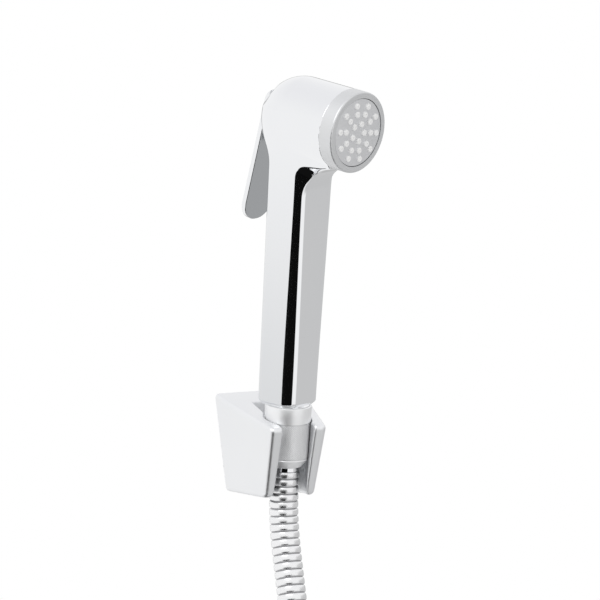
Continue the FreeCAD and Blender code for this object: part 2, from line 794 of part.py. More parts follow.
def make_gland_nut():
    body = new_body("gland_nut", handset_place)
    turned_forward(body, "Gland", valve_level, [
        ("sleeve_rear - gland_depth", "stem_radius + stem_fit"),
        ("sleeve_rear - gland_depth", "gland_bore_radius"),
        ("sleeve_rear", "gland_bore_radius"),
        ("sleeve_rear", "stem_radius + stem_fit"),
    ])
    slot = new_sketch(body, "KeySlotProfile", "XZ_Plane", up=valve_level, out="-sleeve_rear")
    draw_rectangle(slot, "-gland_bore_radius", "-pin_radius / 2", "gland_bore_radius", "pin_radius / 2")
    pocket(body, "KeySlot", slot, "seat_depth", backwards=True)
    doc.recompute()
    return body


def make_spring_seat():
    body = new_body("spring_seat", handset_place)
    turned_forward(body, "Seat", valve_level, [
        ("-sleeve_front", "seat_hole_radius"),
        ("-sleeve_front", "flare_radius"),
        ("-sleeve_front + seat_depth", "flare_radius"),
        ("-sleeve_front + seat_depth", "seat_hole_radius"),
    ])
    ports = new_sketch(body, "PortProfile", "XZ_Plane", up=valve_level, out="head_reach")
    draw_circle_ring(ports, size("seat_ports"), "seat_port_circle", "0", "seat_port_radius")
    pocket(body, "Ports", ports, "head_reach")
    doc.recompute()
    return body


# Stem end: just short of the lever's inner face, which leans back below the pivot.
stem_end = ("(pivot_back + lever_reach / cos(lever_lean) + (pivot_rise + valve_drop) * tan(lever_lean)"
            " - push_gap)")


def make_valve_spool():
    body = new_body("valve_spool", handset_place)
    groove_half = "1.1 * piston_seal_cord"
    groove_middle = "(-piston_front + piston_depth / 2)"
    groove_floor = "spool_bore_radius - stem_fit - 2 * piston_seal_cord"
    turned_forward(body, "Spool", valve_level, [
        ("-piston_front - nose_length", "0"),
        ("-piston_front - nose_length", "nose_radius"),
        ("-piston_front", "nose_radius"),
        ("-piston_front", "spool_bore_radius - piston_fit"),
        (f"{groove_middle} - {groove_half}", "spool_bore_radius - piston_fit"),
        (f"{groove_middle} - {groove_half}", groove_floor),
        (f"{groove_middle} + {groove_half}", groove_floor),
        (f"{groove_middle} + {groove_half}", "spool_bore_radius - piston_fit"),
        ("-piston_front + piston_depth", "spool_bore_radius - piston_fit"),
        ("-piston_front + piston_depth", "stem_radius"),
        (f"{stem_end} - stem_radius / 2", "stem_radius"),
        (stem_end, "stem_radius / 2"),
        (stem_end, "0"),
    ])
    doc.recompute()
    return body


make_valve_sleeve()
make_gland_nut()
make_spring_seat()
make_valve_spool()
ring_seal("gland_seal", handset_place, "sleeve_rear - gland_depth - gland_seal_cord", "spool_bore_radius",
          "gland_seal_cord", valve_level)
ring_seal("piston_seal", handset_place, "piston_depth / 2 - piston_front", "spool_bore_radius - stem_fit",
          "piston_seal_cord", valve_level)


# Lever: a flat blade behind the handle, whose top curls over the pivot.

def make_lever():
    body = new_body("lever", handset_place)

    def lever_sketch(name, out="0"):
        return new_sketch(body, name, "YZ_Plane", "pivot_back", pivot_level, out, "lever_lean")

    blade_sketch = lever_sketch("BladeProfile")
    draw_rectangle(blade_sketch, "lever_reach", "-lever_length", "lever_reach + lever_depth", "0")
    blade = pad(body, "Blade", blade_sketch, "lever_width", midplane=True)
    doc.recompute()
    pivot = Vector(0, size("pivot_back"), size("head_height") + size("pivot_rise"))
    along = Rotation(Vector(1, 0, 0), size("lever_lean")).multVec(Vector(0, 0, 1))

    def at_tip(edge):
        far = (edge_middle(edge) - pivot).dot(along) < 1 - size("lever_length")
        return far and abs(edge_middle(edge).x) > size("lever_width") / 4

    soften(body, "Fillet", "TipRounds", blade, at_tip, "lever_tip_round")
    cap_sketch = new_sketch(body, "CapProfile", "XY_Plane", "0", "pivot_back", pivot_level,
                            "lever_lean", tilt=True)
    draw_rectangle(cap_sketch, "-lever_width / 2", "lever_reach",
                   "lever_width / 2", "lever_reach + lever_depth")
    cap = feature(body, "Revolution", "Cap", cap_sketch)
    cap.ReferenceAxis = (cap_sketch, ["H_Axis"])
    bind(cap, "Angle", "lever_cap_turn")
    web_sketch = lever_sketch("WebProfile")
    draw_rectangle(web_sketch, "0", "-lug_radius", "lever_reach + lever_depth / 2", "lug_radius")
    pad(body, "Web", web_sketch, "lug_width", midplane=True)
    lug_sketch = lever_sketch("LugProfile")
    draw_circle(lug_sketch, "0", "0", "lug_radius")
    pad(body, "Lug", lug_sketch, "lug_width", midplane=True)
    hole_sketch = lever_sketch("HoleProfile")
    draw_circle(hole_sketch, "0", "0", "pin_radius + pin_fit")
    pocket(body, "PinHole", hole_sketch, "2 * lug_width", midplane=True)
    doc.recompute()
    return body


def make_lever_pin():
    body = new_body("lever_pin", handset_place)
    sketch = new_sketch(body, "PinProfile", "YZ_Plane", "pivot_back", pivot_level, "-pin_blind")
    draw_circle(sketch, "0", "0", "pin_radius")
    pad(body, "Pin", sketch, "pin_length")
    doc.recompute()
    return body


make_lever()
make_lever_pin()


# Water way under the handle: the threaded inlet, its seal and the conical nut that hangs in the holder.

def make_inlet_fitting():
    body = new_body("inlet_fitting", bore_place)
    neck = "water_bore_radius - inlet_fit"
    groove = "water_bore_radius - 2 * inlet_seal_cord"
    turned(body, "Inlet", [
        ("inlet_bore_radius", "-thread_length"),
        ("thread_radius - screw_fit", "-thread_length"),
        ("thread_radius - screw_fit", "0"),
        (neck, "0"),
        (neck, "inlet_neck_length / 2 - 1.2 * inlet_seal_cord"),
        (groove, "inlet_neck_length / 2 - 1.2 * inlet_seal_cord"),
        (groove, "inlet_neck_length / 2 + 1.2 * inlet_seal_cord"),
        (neck, "inlet_neck_length / 2 + 1.2 * inlet_seal_cord"),
        (neck, "inlet_neck_length"),
        ("inlet_bore_radius", "inlet_neck_length"),
    ])
    doc.recompute()
    return body


# Under the seam: thread, washer, the nipple's flange and then the nut's own shoulder.
flange_top = "(thread_length + washer_depth)"
flange_foot = "(thread_length + washer_depth + flange_depth)"
nut_shoulder = "(thread_length + washer_depth + flange_depth + collar_clearance)"


def make_cone_nut():
    body = new_body("cone_nut", bore_place)
    passage = "collar_radius + collar_clearance"
    turned(body, "Nut", [
        ("thread_radius", "-nut_seam"),
        ("nut_radius - nut_top_round", "-nut_seam"),
        ("nut_radius", "-nut_seam - nut_top_round"),
        (nut_radius_at("nut_length - nut_foot_rise"), "nut_foot_rise - nut_length"),
        ("nut_foot_radius - nut_foot_bevel", "-nut_length"),
        (passage, "-nut_length"),
        (passage, "-" + nut_shoulder),
        ("nut_chamber_radius", "-" + nut_shoulder),
        ("nut_chamber_radius", "-thread_length"),
        ("thread_radius", "-thread_length"),
    ])
    doc.recompute()
    return body


make_inlet_fitting()
ring_seal("inlet_seal", bore_place, "inlet_neck_length / 2", "water_bore_radius", "inlet_seal_cord")
make_cone_nut()


# Upper hose end, inside the conical nut.

def make_hose_nipple():
    body = new_body("hose_nipple", bore_place)
    turned(body, "Nipple", [
        ("tail_bore_radius", "-" + flange_top),
        ("flange_radius", "-" + flange_top),
        ("flange_radius", "-" + flange_foot),
        ("tail_radius", "-" + flange_foot),
        ("tail_radius", f"-{flange_foot} - tail_length"),
        ("tail_bore_radius", f"-{flange_foot} - tail_length"),
    ])
    doc.recompute()
    return body


def make_hose_washer():
    body = new_body("hose_washer", bore_place)
    turned(body, "Washer", [
        ("washer_bore_radius", "-thread_length"),
        ("flange_radius", "-thread_length"),
        ("flange_radius", "-" + flange_top),
        ("washer_bore_radius", "-" + flange_top),
    ])
    doc.recompute()
    return body


def make_hose_collar():
    body = new_body("hose_collar", bore_place)
    turned(body, "Collar", [
        ("collar_bore_radius", "-" + flange_foot),
        ("collar_radius", "-" + flange_foot),
        ("collar_radius", "-nut_length - collar_show"),
        ("collar_bore_radius", "-nut_length - collar_show"),
    ])
    doc.recompute()
    return body


make_hose_nipple()
make_hose_washer()
make_hose_collar()


# Hose: a centre line of straight runs and arcs down to a coil, which stands in for the unseen rest.

def lean_forward(angle):
    return Vector(0, -math.sin(math.radians(angle)), -math.cos(math.radians(angle)))


def swing_right(angle):
    return Vector(math.sin(math.radians(angle)), 0, -math.cos(math.radians(angle)))


def hose_corners():
    bore_down = lean_forward(-size("bore_lean"))
    corners = [bore_place.multVec(Vector(0, 0, -size("nut_length") - size("collar_show")))]
    swing = size("swing_turn")
    runs = [
        (size("first_run"), bore_down),
        (size("straight_run"), lean_forward(0)),
        (size("forward_run"), lean_forward(size("forward_lean"))),
        (size("steep_run"), lean_forward(size("steep_lean"))),
        (size("ease_run"), lean_forward(size("ease_lean"))),
        (size("swing_run"), swing_right(swing)),
        (size("swing_run"), swing_right(2 * swing)),
        (size("swing_run"), swing_right(size("coil_start_angle"))),
    ]
    for length, heading in runs:
        corners.append(corners[-1] + heading * length)
    return corners


def rounded_path(corners):
    """Straight runs joined by tangent arcs; also gives each arc's radius."""
    pieces = []
    radii = []
    here = corners[0]
    for before, corner, after in zip(corners, corners[1:], corners[2:]):
        come = (corner - before).normalize()
        leave = (after - corner).normalize()
        half_turn = come.getAngle(leave) / 2
        shorter = min((corner - before).Length, (after - corner).Length)
        cut = 0.45 * shorter
        radii.append(cut / math.tan(half_turn))
        start = corner - come * cut
        end = corner + leave * cut
        bulge = (start + end) * 0.5
        middle = bulge + (corner - bulge) * (math.cos(half_turn) / (1 + math.cos(half_turn)))
        pieces.append(Part.makeLine(here, start))
        pieces.append(Part.Arc(start, middle, end).toShape())
        here = end
    pieces.append(Part.makeLine(here, corners[-1]))
    return pieces, radii


def point_on(pieces, distance):
    """The point and the heading at a distance along the path."""
    for piece in pieces:
        if distance <= piece.Length or piece is pieces[-1]:
            at = piece.getParameterByLength(min(distance, piece.Length))
            return piece.valueAt(at), piece.tangentAt(at)
        distance -= piece.Length


def pipe(pieces, radius):
    """A round pipe along a path, from its start."""
    start, heading = point_on(pieces, 0)
    section = Part.Wire(Part.makeCircle(radius, start, heading))
    return Part.Wire(pieces).makePipeShell([section], True, False)


def ribbed(pieces, root_radius, crest_radius):
    """Ribs as one ruled loft through four circles each, all turned the same way."""
    length = sum(piece.Length for piece in pieces)
    count = int(round(length / size("rib_pitch")))
    pitch = length / count
    flank = size("rib_flank")
    groove = size("rib_groove")
    steps = ((0, root_radius), (flank, crest_radius), (pitch - groove - flank, crest_radius),
             (pitch - groove, root_radius))
    rings = [(i * pitch + step, radius) for i in range(count) for step, radius in steps]
    rings.append((length, root_radius))
    circles = []
    for distance, radius in rings:
        middle, heading = point_on(pieces, distance)
        circle = Part.Wire(Part.makeCircle(radius))
        steady = Vector(1, 0, 0)
        circle.Placement = Placement(middle, Rotation(steady, heading.cross(steady), heading, "ZXY"))
        circles.append(circle)
    return Part.makeLoft(circles, True, True), count


def solid_part(label, shape):
    item = doc.addObject("Part::Feature", label)
    item.Label = label
    item.Shape = shape
    sub_parts.append(item)
    return item


def compare_volume(label, shape, area, length):
    share = shape.Volume / (area * length)
    print(f"{label}: volume is {share:.4f} of section times length")


corners = hose_corners()
stretch, stretch_radii = rounded_path(corners)
stretch_length = sum(piece.Length for piece in stretch)
print("arc radii in hose diameters:", [round(arc / (2 * size("hose_radius")), 1) for arc in stretch_radii])

bore = pipe(stretch, size("armour_bore_radius"))
ribs, rib_count = ribbed(stretch, size("hose_radius") - size("rib_height"), size("hose_radius"))
armour = ribs.cut(bore)
solid_part("hose_armour", armour)
print("ribs:", rib_count)
compare_volume("hose bore", bore, math.pi * size("armour_bore_radius") ** 2, stretch_length)


def make_inner_tube():
    """The rubber tube inside the hose: over the nipple's tail and down the whole stretch."""
    above = size("nut_length") + size("collar_show") - size("thread_length") - size("washer_depth")
    above -= size("flange_depth") + size("washer_depth")
    up = bore_place.Rotation.multVec(Vector(0, 0, 1))
    pieces = [Part.makeLine(corners[0] + up * above, corners[0])] + stretch
    tube = pipe(pieces, size("inner_tube_radius")).cut(pipe(pieces, size("inner_tube_bore")))
    return solid_part("inner_tube", tube)


make_inner_tube()


# Loops: the rest of the hose hangs in a coil in front of the wall, and the valve's spring is a small one.

def loop_point(radius, pitch, angle):
    """A point of loops about the Y axis that step to the front, turning as the angle falls."""
    around = math.radians(angle)
    return Vector(radius * math.cos(around), pitch * angle / 360, radius * math.sin(around))


def loop_heading(radius, pitch, angle, level):
    around = math.radians(angle)
    step = 0 if level else -pitch / (2 * math.pi * radius)
    return Vector(math.sin(around), step, -math.cos(around)).normalize()


def arc_from(start, corner, end):
    bulge = (start + end) * 0.5
    half_turn = (corner - start).getAngle(end - corner) / 2
    middle = bulge + (corner - bulge) * (math.cos(half_turn) / (1 + math.cos(half_turn)))
    return Part.Arc(start, middle, end).toShape()


def two_arcs(start, start_heading, end, end_heading):
    """Two arcs that leave and arrive along the headings and share one in the middle."""
    apart = end - start
    both = start_heading + end_heading
    spread = 2 * (1 - start_heading.dot(end_heading))
    reach = (math.sqrt(apart.dot(both) ** 2 + spread * apart.dot(apart)) - apart.dot(both)) / spread
    first_corner = start + start_heading * reach
    second_corner = end - end_heading * reach
    middle = (first_corner + second_corner) * 0.5
    return [arc_from(start, first_corner, middle), arc_from(middle, second_corner, end)]


def loops(centre, radius, pitch, start_angle, turns, level_ends):
    """Arcs of about a quarter turn each; level ends leave and arrive square to the Y axis."""
    count = math.ceil(turns * 4)
    angles = [start_angle - turns * 360 * i / count for i in range(count + 1)]
    ends = (angles[0], angles[-1]) if level_ends else ()
    arcs = []
    for angle, following in zip(angles, angles[1:]):
        arcs += two_arcs(centre + loop_point(radius, pitch, angle),
                         loop_heading(radius, pitch, angle, angle in ends),
                         centre + loop_point(radius, pitch, following),
                         loop_heading(radius, pitch, following, following in ends))
    return arcs


# Coil: the last straight run reaches its start one hose diameter on.
coil_start = size("coil_start_angle")
coil_finish = coil_start - size("coil_turns") * 360
run_in = swing_right(coil_start) * (2 * size("hose_radius"))
coil_centre = corners[-1] + run_in - loop_point(size("coil_radius"), size("coil_pitch"), coil_start)


def coil_point(angle):
    return coil_centre + loop_point(size("coil_radius"), size("coil_pitch"), angle)


def coil_path():
    arcs = loops(coil_centre, size("coil_radius"), size("coil_pitch"), coil_start, size("coil_turns"), True)
    start = coil_point(coil_start)
    finish = coil_point(coil_finish)
    heading = loop_heading(size("coil_radius"), size("coil_pitch"), coil_finish, True)
    run_out = heading * size("coil_end_run")
    return [Part.makeLine(corners[-1], start)] + arcs + [Part.makeLine(finish, finish + run_out)]


def least_gap(pieces, diameter):
    """Least gap between strands, over points more than a few diameters apart along the hose."""
    step = 2.0
    count = int(sum(piece.Length for piece in pieces) / step)
    points = [point_on(pieces, i * step)[0] for i in range(count)]
    skip = int(6 * diameter / step)
    apart = [(points[i] - points[j]).Length for i in range(count) for j in range(i + skip, count)]
    return min(apart) - diameter


coil_pieces = coil_path()
coil_length = sum(piece.Length for piece in coil_pieces)
coil = pipe(coil_pieces, size("hose_radius"))
solid_part("hose_coil", coil)
compare_volume("hose coil", coil, math.pi * size("hose_radius") ** 2, coil_length)
print("least gap between loops:", round(least_gap(stretch + coil_pieces, 2 * size("hose_radius")), 2))
print("hose length:", round(stretch_length + coil_length, 1))


def make_valve_spring():
    wire = size("spring_wire")
    rear = -size("piston_front") - wire - size("spring_end_gap")
    front = -size("sleeve_front") + size("seat_depth") + wire
    pitch = (rear - front) / size("spring_turns")
    centre = Vector(0, rear, size("head_height") - size("valve_drop"))
    spring = pipe(loops(centre, size("spring_radius"), pitch, 0, size("spring_turns"), False), wire)
    item = solid_part("valve_spring", spring)
    item.Placement = handset_place


make_valve_spring()


def make_coil_tie():
    """A band round the loops, tied to the place where they lie side by side."""
    first = coil_point(size("tie_angle"))
    last = coil_point(size("tie_angle") - 360 * math.floor(size("coil_turns")))
    outward = Rotation(Vector(0, 1, 0), -size("tie_angle"))
    place = Placement((first + last) * 0.5, outward)
    body = new_body("coil_tie", place)
    half_high = "(hose_radius + tie_clearance)"
    half_wide = f"({half_high} + floor(coil_turns) * coil_pitch / 2)"

    def corner_edge(edge):
        return abs(edge_direction(edge).z) > 0.9

    outer = new_sketch(body, "OuterProfile", "XY_Plane", out="-tie_width / 2")
    draw_rectangle(outer, f"-{half_high} - tie_depth", f"-{half_wide} - tie_depth",
                   f"{half_high} + tie_depth", f"{half_wide} + tie_depth")
    block = pad(body, "Block", outer, "tie_width")
    doc.recompute()
    soften(body, "Fillet", "OuterRounds", block, corner_edge, "hose_radius")
    inner = new_sketch(body, "InnerProfile", "XY_Plane", out="-tie_width")
    cut_high = f"({half_high} - hose_radius / 2)"
    cut_wide = f"({half_wide} - hose_radius / 2)"
    draw_outline(inner, [
        (cut_high, half_wide), ("-" + cut_high, half_wide), ("-" + half_high, cut_wide),
        ("-" + half_high, "-" + cut_wide), ("-" + cut_high, "-" + half_wide), (cut_high, "-" + half_wide),
        (half_high, "-" + cut_wide), (half_high, cut_wide),
    ])
    pocket(body, "Gap", inner, "2 * tie_width", backwards=True)
    doc.recompute()
    return body


make_coil_tie()


# Supply end of the hose, drawn upright and turned so that its +Z follows the hose, straight down.
end_place = Placement(coil_point(coil_finish) + Vector(0, 0, -size("coil_end_run")),
                      Rotation(Vector(1, 0, 0), 180))


def make_end_collar():
    body = new_body("end_collar", end_place)
    turned(body, "Collar", [
        ("tail_radius", "0"),
        ("end_collar_radius", "0"),
        ("end_collar_radius", "end_collar_length"),
        ("tail_radius", "end_collar_length"),
    ])
    doc.recompute()
    return body


def make_end_nipple():
    body = new_body("end_nipple", end_place)
    turned(body, "Nipple", [
        ("tail_bore_radius", "0"),
        ("tail_radius", "0"),
        ("tail_radius", "end_collar_length"),
        ("end_flange_radius", "end_collar_length"),
        ("end_flange_radius", "end_collar_length + end_flange_depth"),
        ("tail_bore_radius", "end_collar_length + end_flange_depth"),
    ])
    doc.recompute()
    return body


def make_end_washer():
    body = new_body("end_washer", end_place)
    back = "end_collar_length + end_flange_depth"
    turned(body, "Washer", [
        ("washer_bore_radius", back),
        ("end_flange_radius", back),
        ("end_flange_radius", back + " + washer_depth"),
        ("washer_bore_radius", back + " + washer_depth"),
    ])
    doc.recompute()
    return body


def make_end_nut():
    body = new_body("end_nut", end_place)
    back = "(end_collar_length - collar_clearance - end_nut_web)"
    front = f"({back} + end_nut_length)"
    thread_back = f"({front} - end_thread_length)"
    hexagon = new_sketch(body, "HexagonProfile", "XY_Plane", out=back)
    reach = "end_nut_flats / 2 / cos(30)"
    draw_outline(hexagon, [(f"{reach} * cos({60 * i})", f"{reach} * sin({60 * i})") for i in range(6)])
    pad(body, "Hexagon", hexagon, "end_nut_length")
    turned(body, "Bores", [
        ("0", "0"),
        ("end_collar_radius + collar_clearance", "0"),
        ("end_collar_radius + collar_clearance", back + " + end_nut_web"),
        ("end_relief_radius", back + " + end_nut_web"),
        ("end_relief_radius", thread_back),
        ("end_thread_radius", thread_back),
        ("end_thread_radius", front + " + 1"),
        ("0", front + " + 1"),
    ], cut=True)
    for name, face, inward in (("BackBevel", back, 1), ("FrontBevel", front, -1)):
        turned(body, name, [
            ("end_nut_flats / 2", face),
            ("end_nut_flats", face),
            ("end_nut_flats", f"{face} + {inward} * end_nut_bevel * 6"),
            ("end_nut_flats / 2 + end_nut_bevel", f"{face} + {inward} * end_nut_bevel * 0.6"),
        ], cut=True)
    doc.recompute()
    return body


make_end_collar()
make_end_nipple()
make_end_washer()
make_end_nut()


# Everything is worked out once more, looked over and written, one file for each sub-part.

for item in doc.Objects:
    item.touch()
doc.recompute()
for item in doc.Objects:
    if "Invalid" in item.State or "Error" in item.State:
        raise RuntimeError(f"{item.Label} did not compute")
os.makedirs("parts", exist_ok=True)
for sub_part in sub_parts:
    shape = sub_part.Shape
    if shape.isNull() or not shape.isValid() or len(shape.Solids) != 1:
        raise RuntimeError(f"{sub_part.Label} is not one valid solid")
    shape.exportStep(f"parts/{sub_part.Label}.step")
print("sub-parts:", len(sub_parts))
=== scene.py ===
import math
import bmesh
import bpy
import numpy as np
from mathutils import Matrix, Vector


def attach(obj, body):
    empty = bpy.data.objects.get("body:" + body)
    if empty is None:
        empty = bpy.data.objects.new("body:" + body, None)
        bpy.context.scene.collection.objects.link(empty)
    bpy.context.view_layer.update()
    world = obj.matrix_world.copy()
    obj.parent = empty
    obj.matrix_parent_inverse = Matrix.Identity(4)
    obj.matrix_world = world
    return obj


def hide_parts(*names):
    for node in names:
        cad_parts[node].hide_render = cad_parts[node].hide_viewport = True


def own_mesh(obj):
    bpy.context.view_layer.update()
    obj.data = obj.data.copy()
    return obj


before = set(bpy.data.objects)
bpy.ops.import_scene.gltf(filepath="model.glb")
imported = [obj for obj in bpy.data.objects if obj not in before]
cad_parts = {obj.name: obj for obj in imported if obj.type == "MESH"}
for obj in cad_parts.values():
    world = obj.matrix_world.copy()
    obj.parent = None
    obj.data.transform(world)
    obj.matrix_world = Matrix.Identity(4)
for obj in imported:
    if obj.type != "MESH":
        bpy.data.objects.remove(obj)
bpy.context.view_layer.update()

mm = 0.001  # lengths below are in millimetres and angles in degrees, but the camera and studio are in metres

# The bore of the holder leans forward, and the handset is turned in it.
boreLine = {"middle": (0, -33.7, 20.2), "lean": 10, "handsetTurn": 23}
boreFrame = (Matrix.Translation(Vector(boreLine["middle"]) * mm)
             @ Matrix.Rotation(math.radians(boreLine["lean"]), 4, "X"))
handsetFrame = boreFrame @ Matrix.Rotation(math.radians(boreLine["handsetTurn"]), 4, "Z")


# Camera

camera = {
    "aim": (0, -0.040, 0.060),  # metres
    "azimuth": -26.117,
    "elevation": 4.179,
    "roll": -1.365,
    "distance": 4.0,
    "fieldWidth": 0.2914,
    "right": 0.00375,  # shift of the aim across the picture
    "up": 0.01094,
    "sensorWidth": 36.0,
    "farClip": 50.0,
}


def makeCamera(view):
    azimuth, elevation, roll = (math.radians(view[k]) for k in ("azimuth", "elevation", "roll"))
    back = Vector((math.sin(azimuth) * math.cos(elevation),
                   -math.cos(azimuth) * math.cos(elevation), math.sin(elevation)))
    level = Vector((math.cos(azimuth), math.sin(azimuth), 0))
    upright = back.cross(level)
    right = math.cos(roll) * level + math.sin(roll) * upright
    up = -math.sin(roll) * level + math.cos(roll) * upright
    aim = Vector(view["aim"]) + view["right"] * right + view["up"] * up
    data = bpy.data.cameras.new("photoCamera")
    data.sensor_width = view["sensorWidth"]
    data.lens = view["sensorWidth"] * view["distance"] / view["fieldWidth"]
    data.clip_end = view["farClip"]
    viewer = bpy.data.objects.new("photoCamera", data)
    bpy.context.scene.collection.objects.link(viewer)
    turn = Matrix((right, up, back)).transposed().to_4x4()
    viewer.matrix_world = Matrix.Translation(aim + back * view["distance"]) @ turn
    bpy.context.scene.camera = viewer


makeCamera(camera)
print("camera set")


# Shader helpers

class Wire:  # a socket that takes part in sums
    def __init__(self, maker, socket):
        self.maker = maker
        self.socket = socket

    def sum(self, operation, first, second):
        return self.maker.add("ShaderNodeMath", {"operation": operation}, {0: first, 1: second})

    def __add__(self, other):
        return self.sum("ADD", self, other)

    def __radd__(self, other):
        return self.sum("ADD", other, self)

    def __sub__(self, other):
        return self.sum("SUBTRACT", self, other)

    def __rsub__(self, other):
        return self.sum("SUBTRACT", other, self)

    def __mul__(self, other):
        return self.sum("MULTIPLY", self, other)

    def __rmul__(self, other):
        return self.sum("MULTIPLY", other, self)

    def __truediv__(self, other):
        return self.sum("DIVIDE", self, other)

    def __rtruediv__(self, other):
        return self.sum("DIVIDE", other, self)


class Nodes:  # one node tree, filled by one method
    def __init__(self, tree):
        self.tree = tree
        tree.nodes.clear()

    def add(self, kind, settings=None, feeds=None, take=0):
        node = self.tree.nodes.new(kind)
        for name, value in (settings or {}).items():
            setattr(node, name, value)
        for key, value in (feeds or {}).items():
            if isinstance(value, Wire):
                self.tree.links.new(value.socket, node.inputs[key])
            else:
                node.inputs[key].default_value = value
        return Wire(self, node.outputs[take] if node.outputs else None)

    def place(self, stretch=(1, 1, 1)):
        where = self.add("ShaderNodeTexCoord", take=3)
        return self.add("ShaderNodeMapping", feeds={0: where, 3: stretch})

    def noise(self, where, scale, detail=3, rough=0.5):
        feeds = {"Vector": where, "Scale": scale, "Detail": detail, "Roughness": rough}
        return self.add("ShaderNodeTexNoise", feeds=feeds)

    def span(self, value, low, high, start=0.0, end=1.0):  # a soft step from start to end
        return self.add("ShaderNodeMapRange", {"interpolation_type": "SMOOTHSTEP"},
                        {0: value, 1: low, 2: high, 3: start, 4: end})

    def mix(self, share, first, second):
        colours = [c if isinstance(c, Wire) else (*c, 1) for c in (first, second)]
        return self.add("ShaderNodeMix", {"data_type": "RGBA"},
                        {0: share, 6: colours[0], 7: colours[1]}, take=2)

    def bump(self, height, strength, distance, under=None):
        feeds = {"Height": height, "Strength": strength, "Distance": distance}
        if under:
            feeds["Normal"] = under
        return self.add("ShaderNodeBump", feeds=feeds)


# Finishes: one noise clouds the colour, another grains the surface; each is given as scale, detail, roughness

def newFinish(name, plan):
    finish = bpy.data.materials.new(name)
    finish.use_nodes = True
    nodes = Nodes(finish.node_tree)
    where = nodes.place()
    tone = nodes.mix(nodes.noise(where, *plan["cloud"]), plan["pale"], plan["deep"])
    grain = nodes.noise(nodes.place(plan.get("stretch", (1, 1, 1))), *plan["grain"])
    rough = plan["rough"] + plan["roughSpread"] * grain
    ripple = None
    if "wipe" in plan:  # faint wiping marks
        wipe = plan["wipe"]
        rough = rough + wipe["rough"] * nodes.noise(nodes.place(wipe["stretch"]), *wipe["noise"])
    if "ripple" in plan:  # a long slow swell in the plating
        ripple = nodes.bump(nodes.noise(where, *plan["ripple"]["noise"]), *plan["ripple"]["bump"])
    if "paintedShadeAndDull" in plan:  # painted shade: where the mesh's mask says, the colour is darkened, and the surface is also rougher
        paintedShadeAndDull = plan["paintedShadeAndDull"]
        depth = nodes.add("ShaderNodeAttribute", {"attribute_name": paintedShadeAndDull["attribute"]}, take=2)
        tone = nodes.mix(depth, tone, paintedShadeAndDull["tone"])
        rough = rough + paintedShadeAndDull["rough"] * depth
    shader = nodes.add("ShaderNodeBsdfPrincipled", feeds={
        "Base Color": tone,
        "Metallic": plan["metallic"],
        "Roughness": rough,
        "Normal": nodes.bump(grain, *plan["bump"], ripple),
    })
    nodes.add("ShaderNodeOutputMaterial", feeds={0: shader})
    return finish


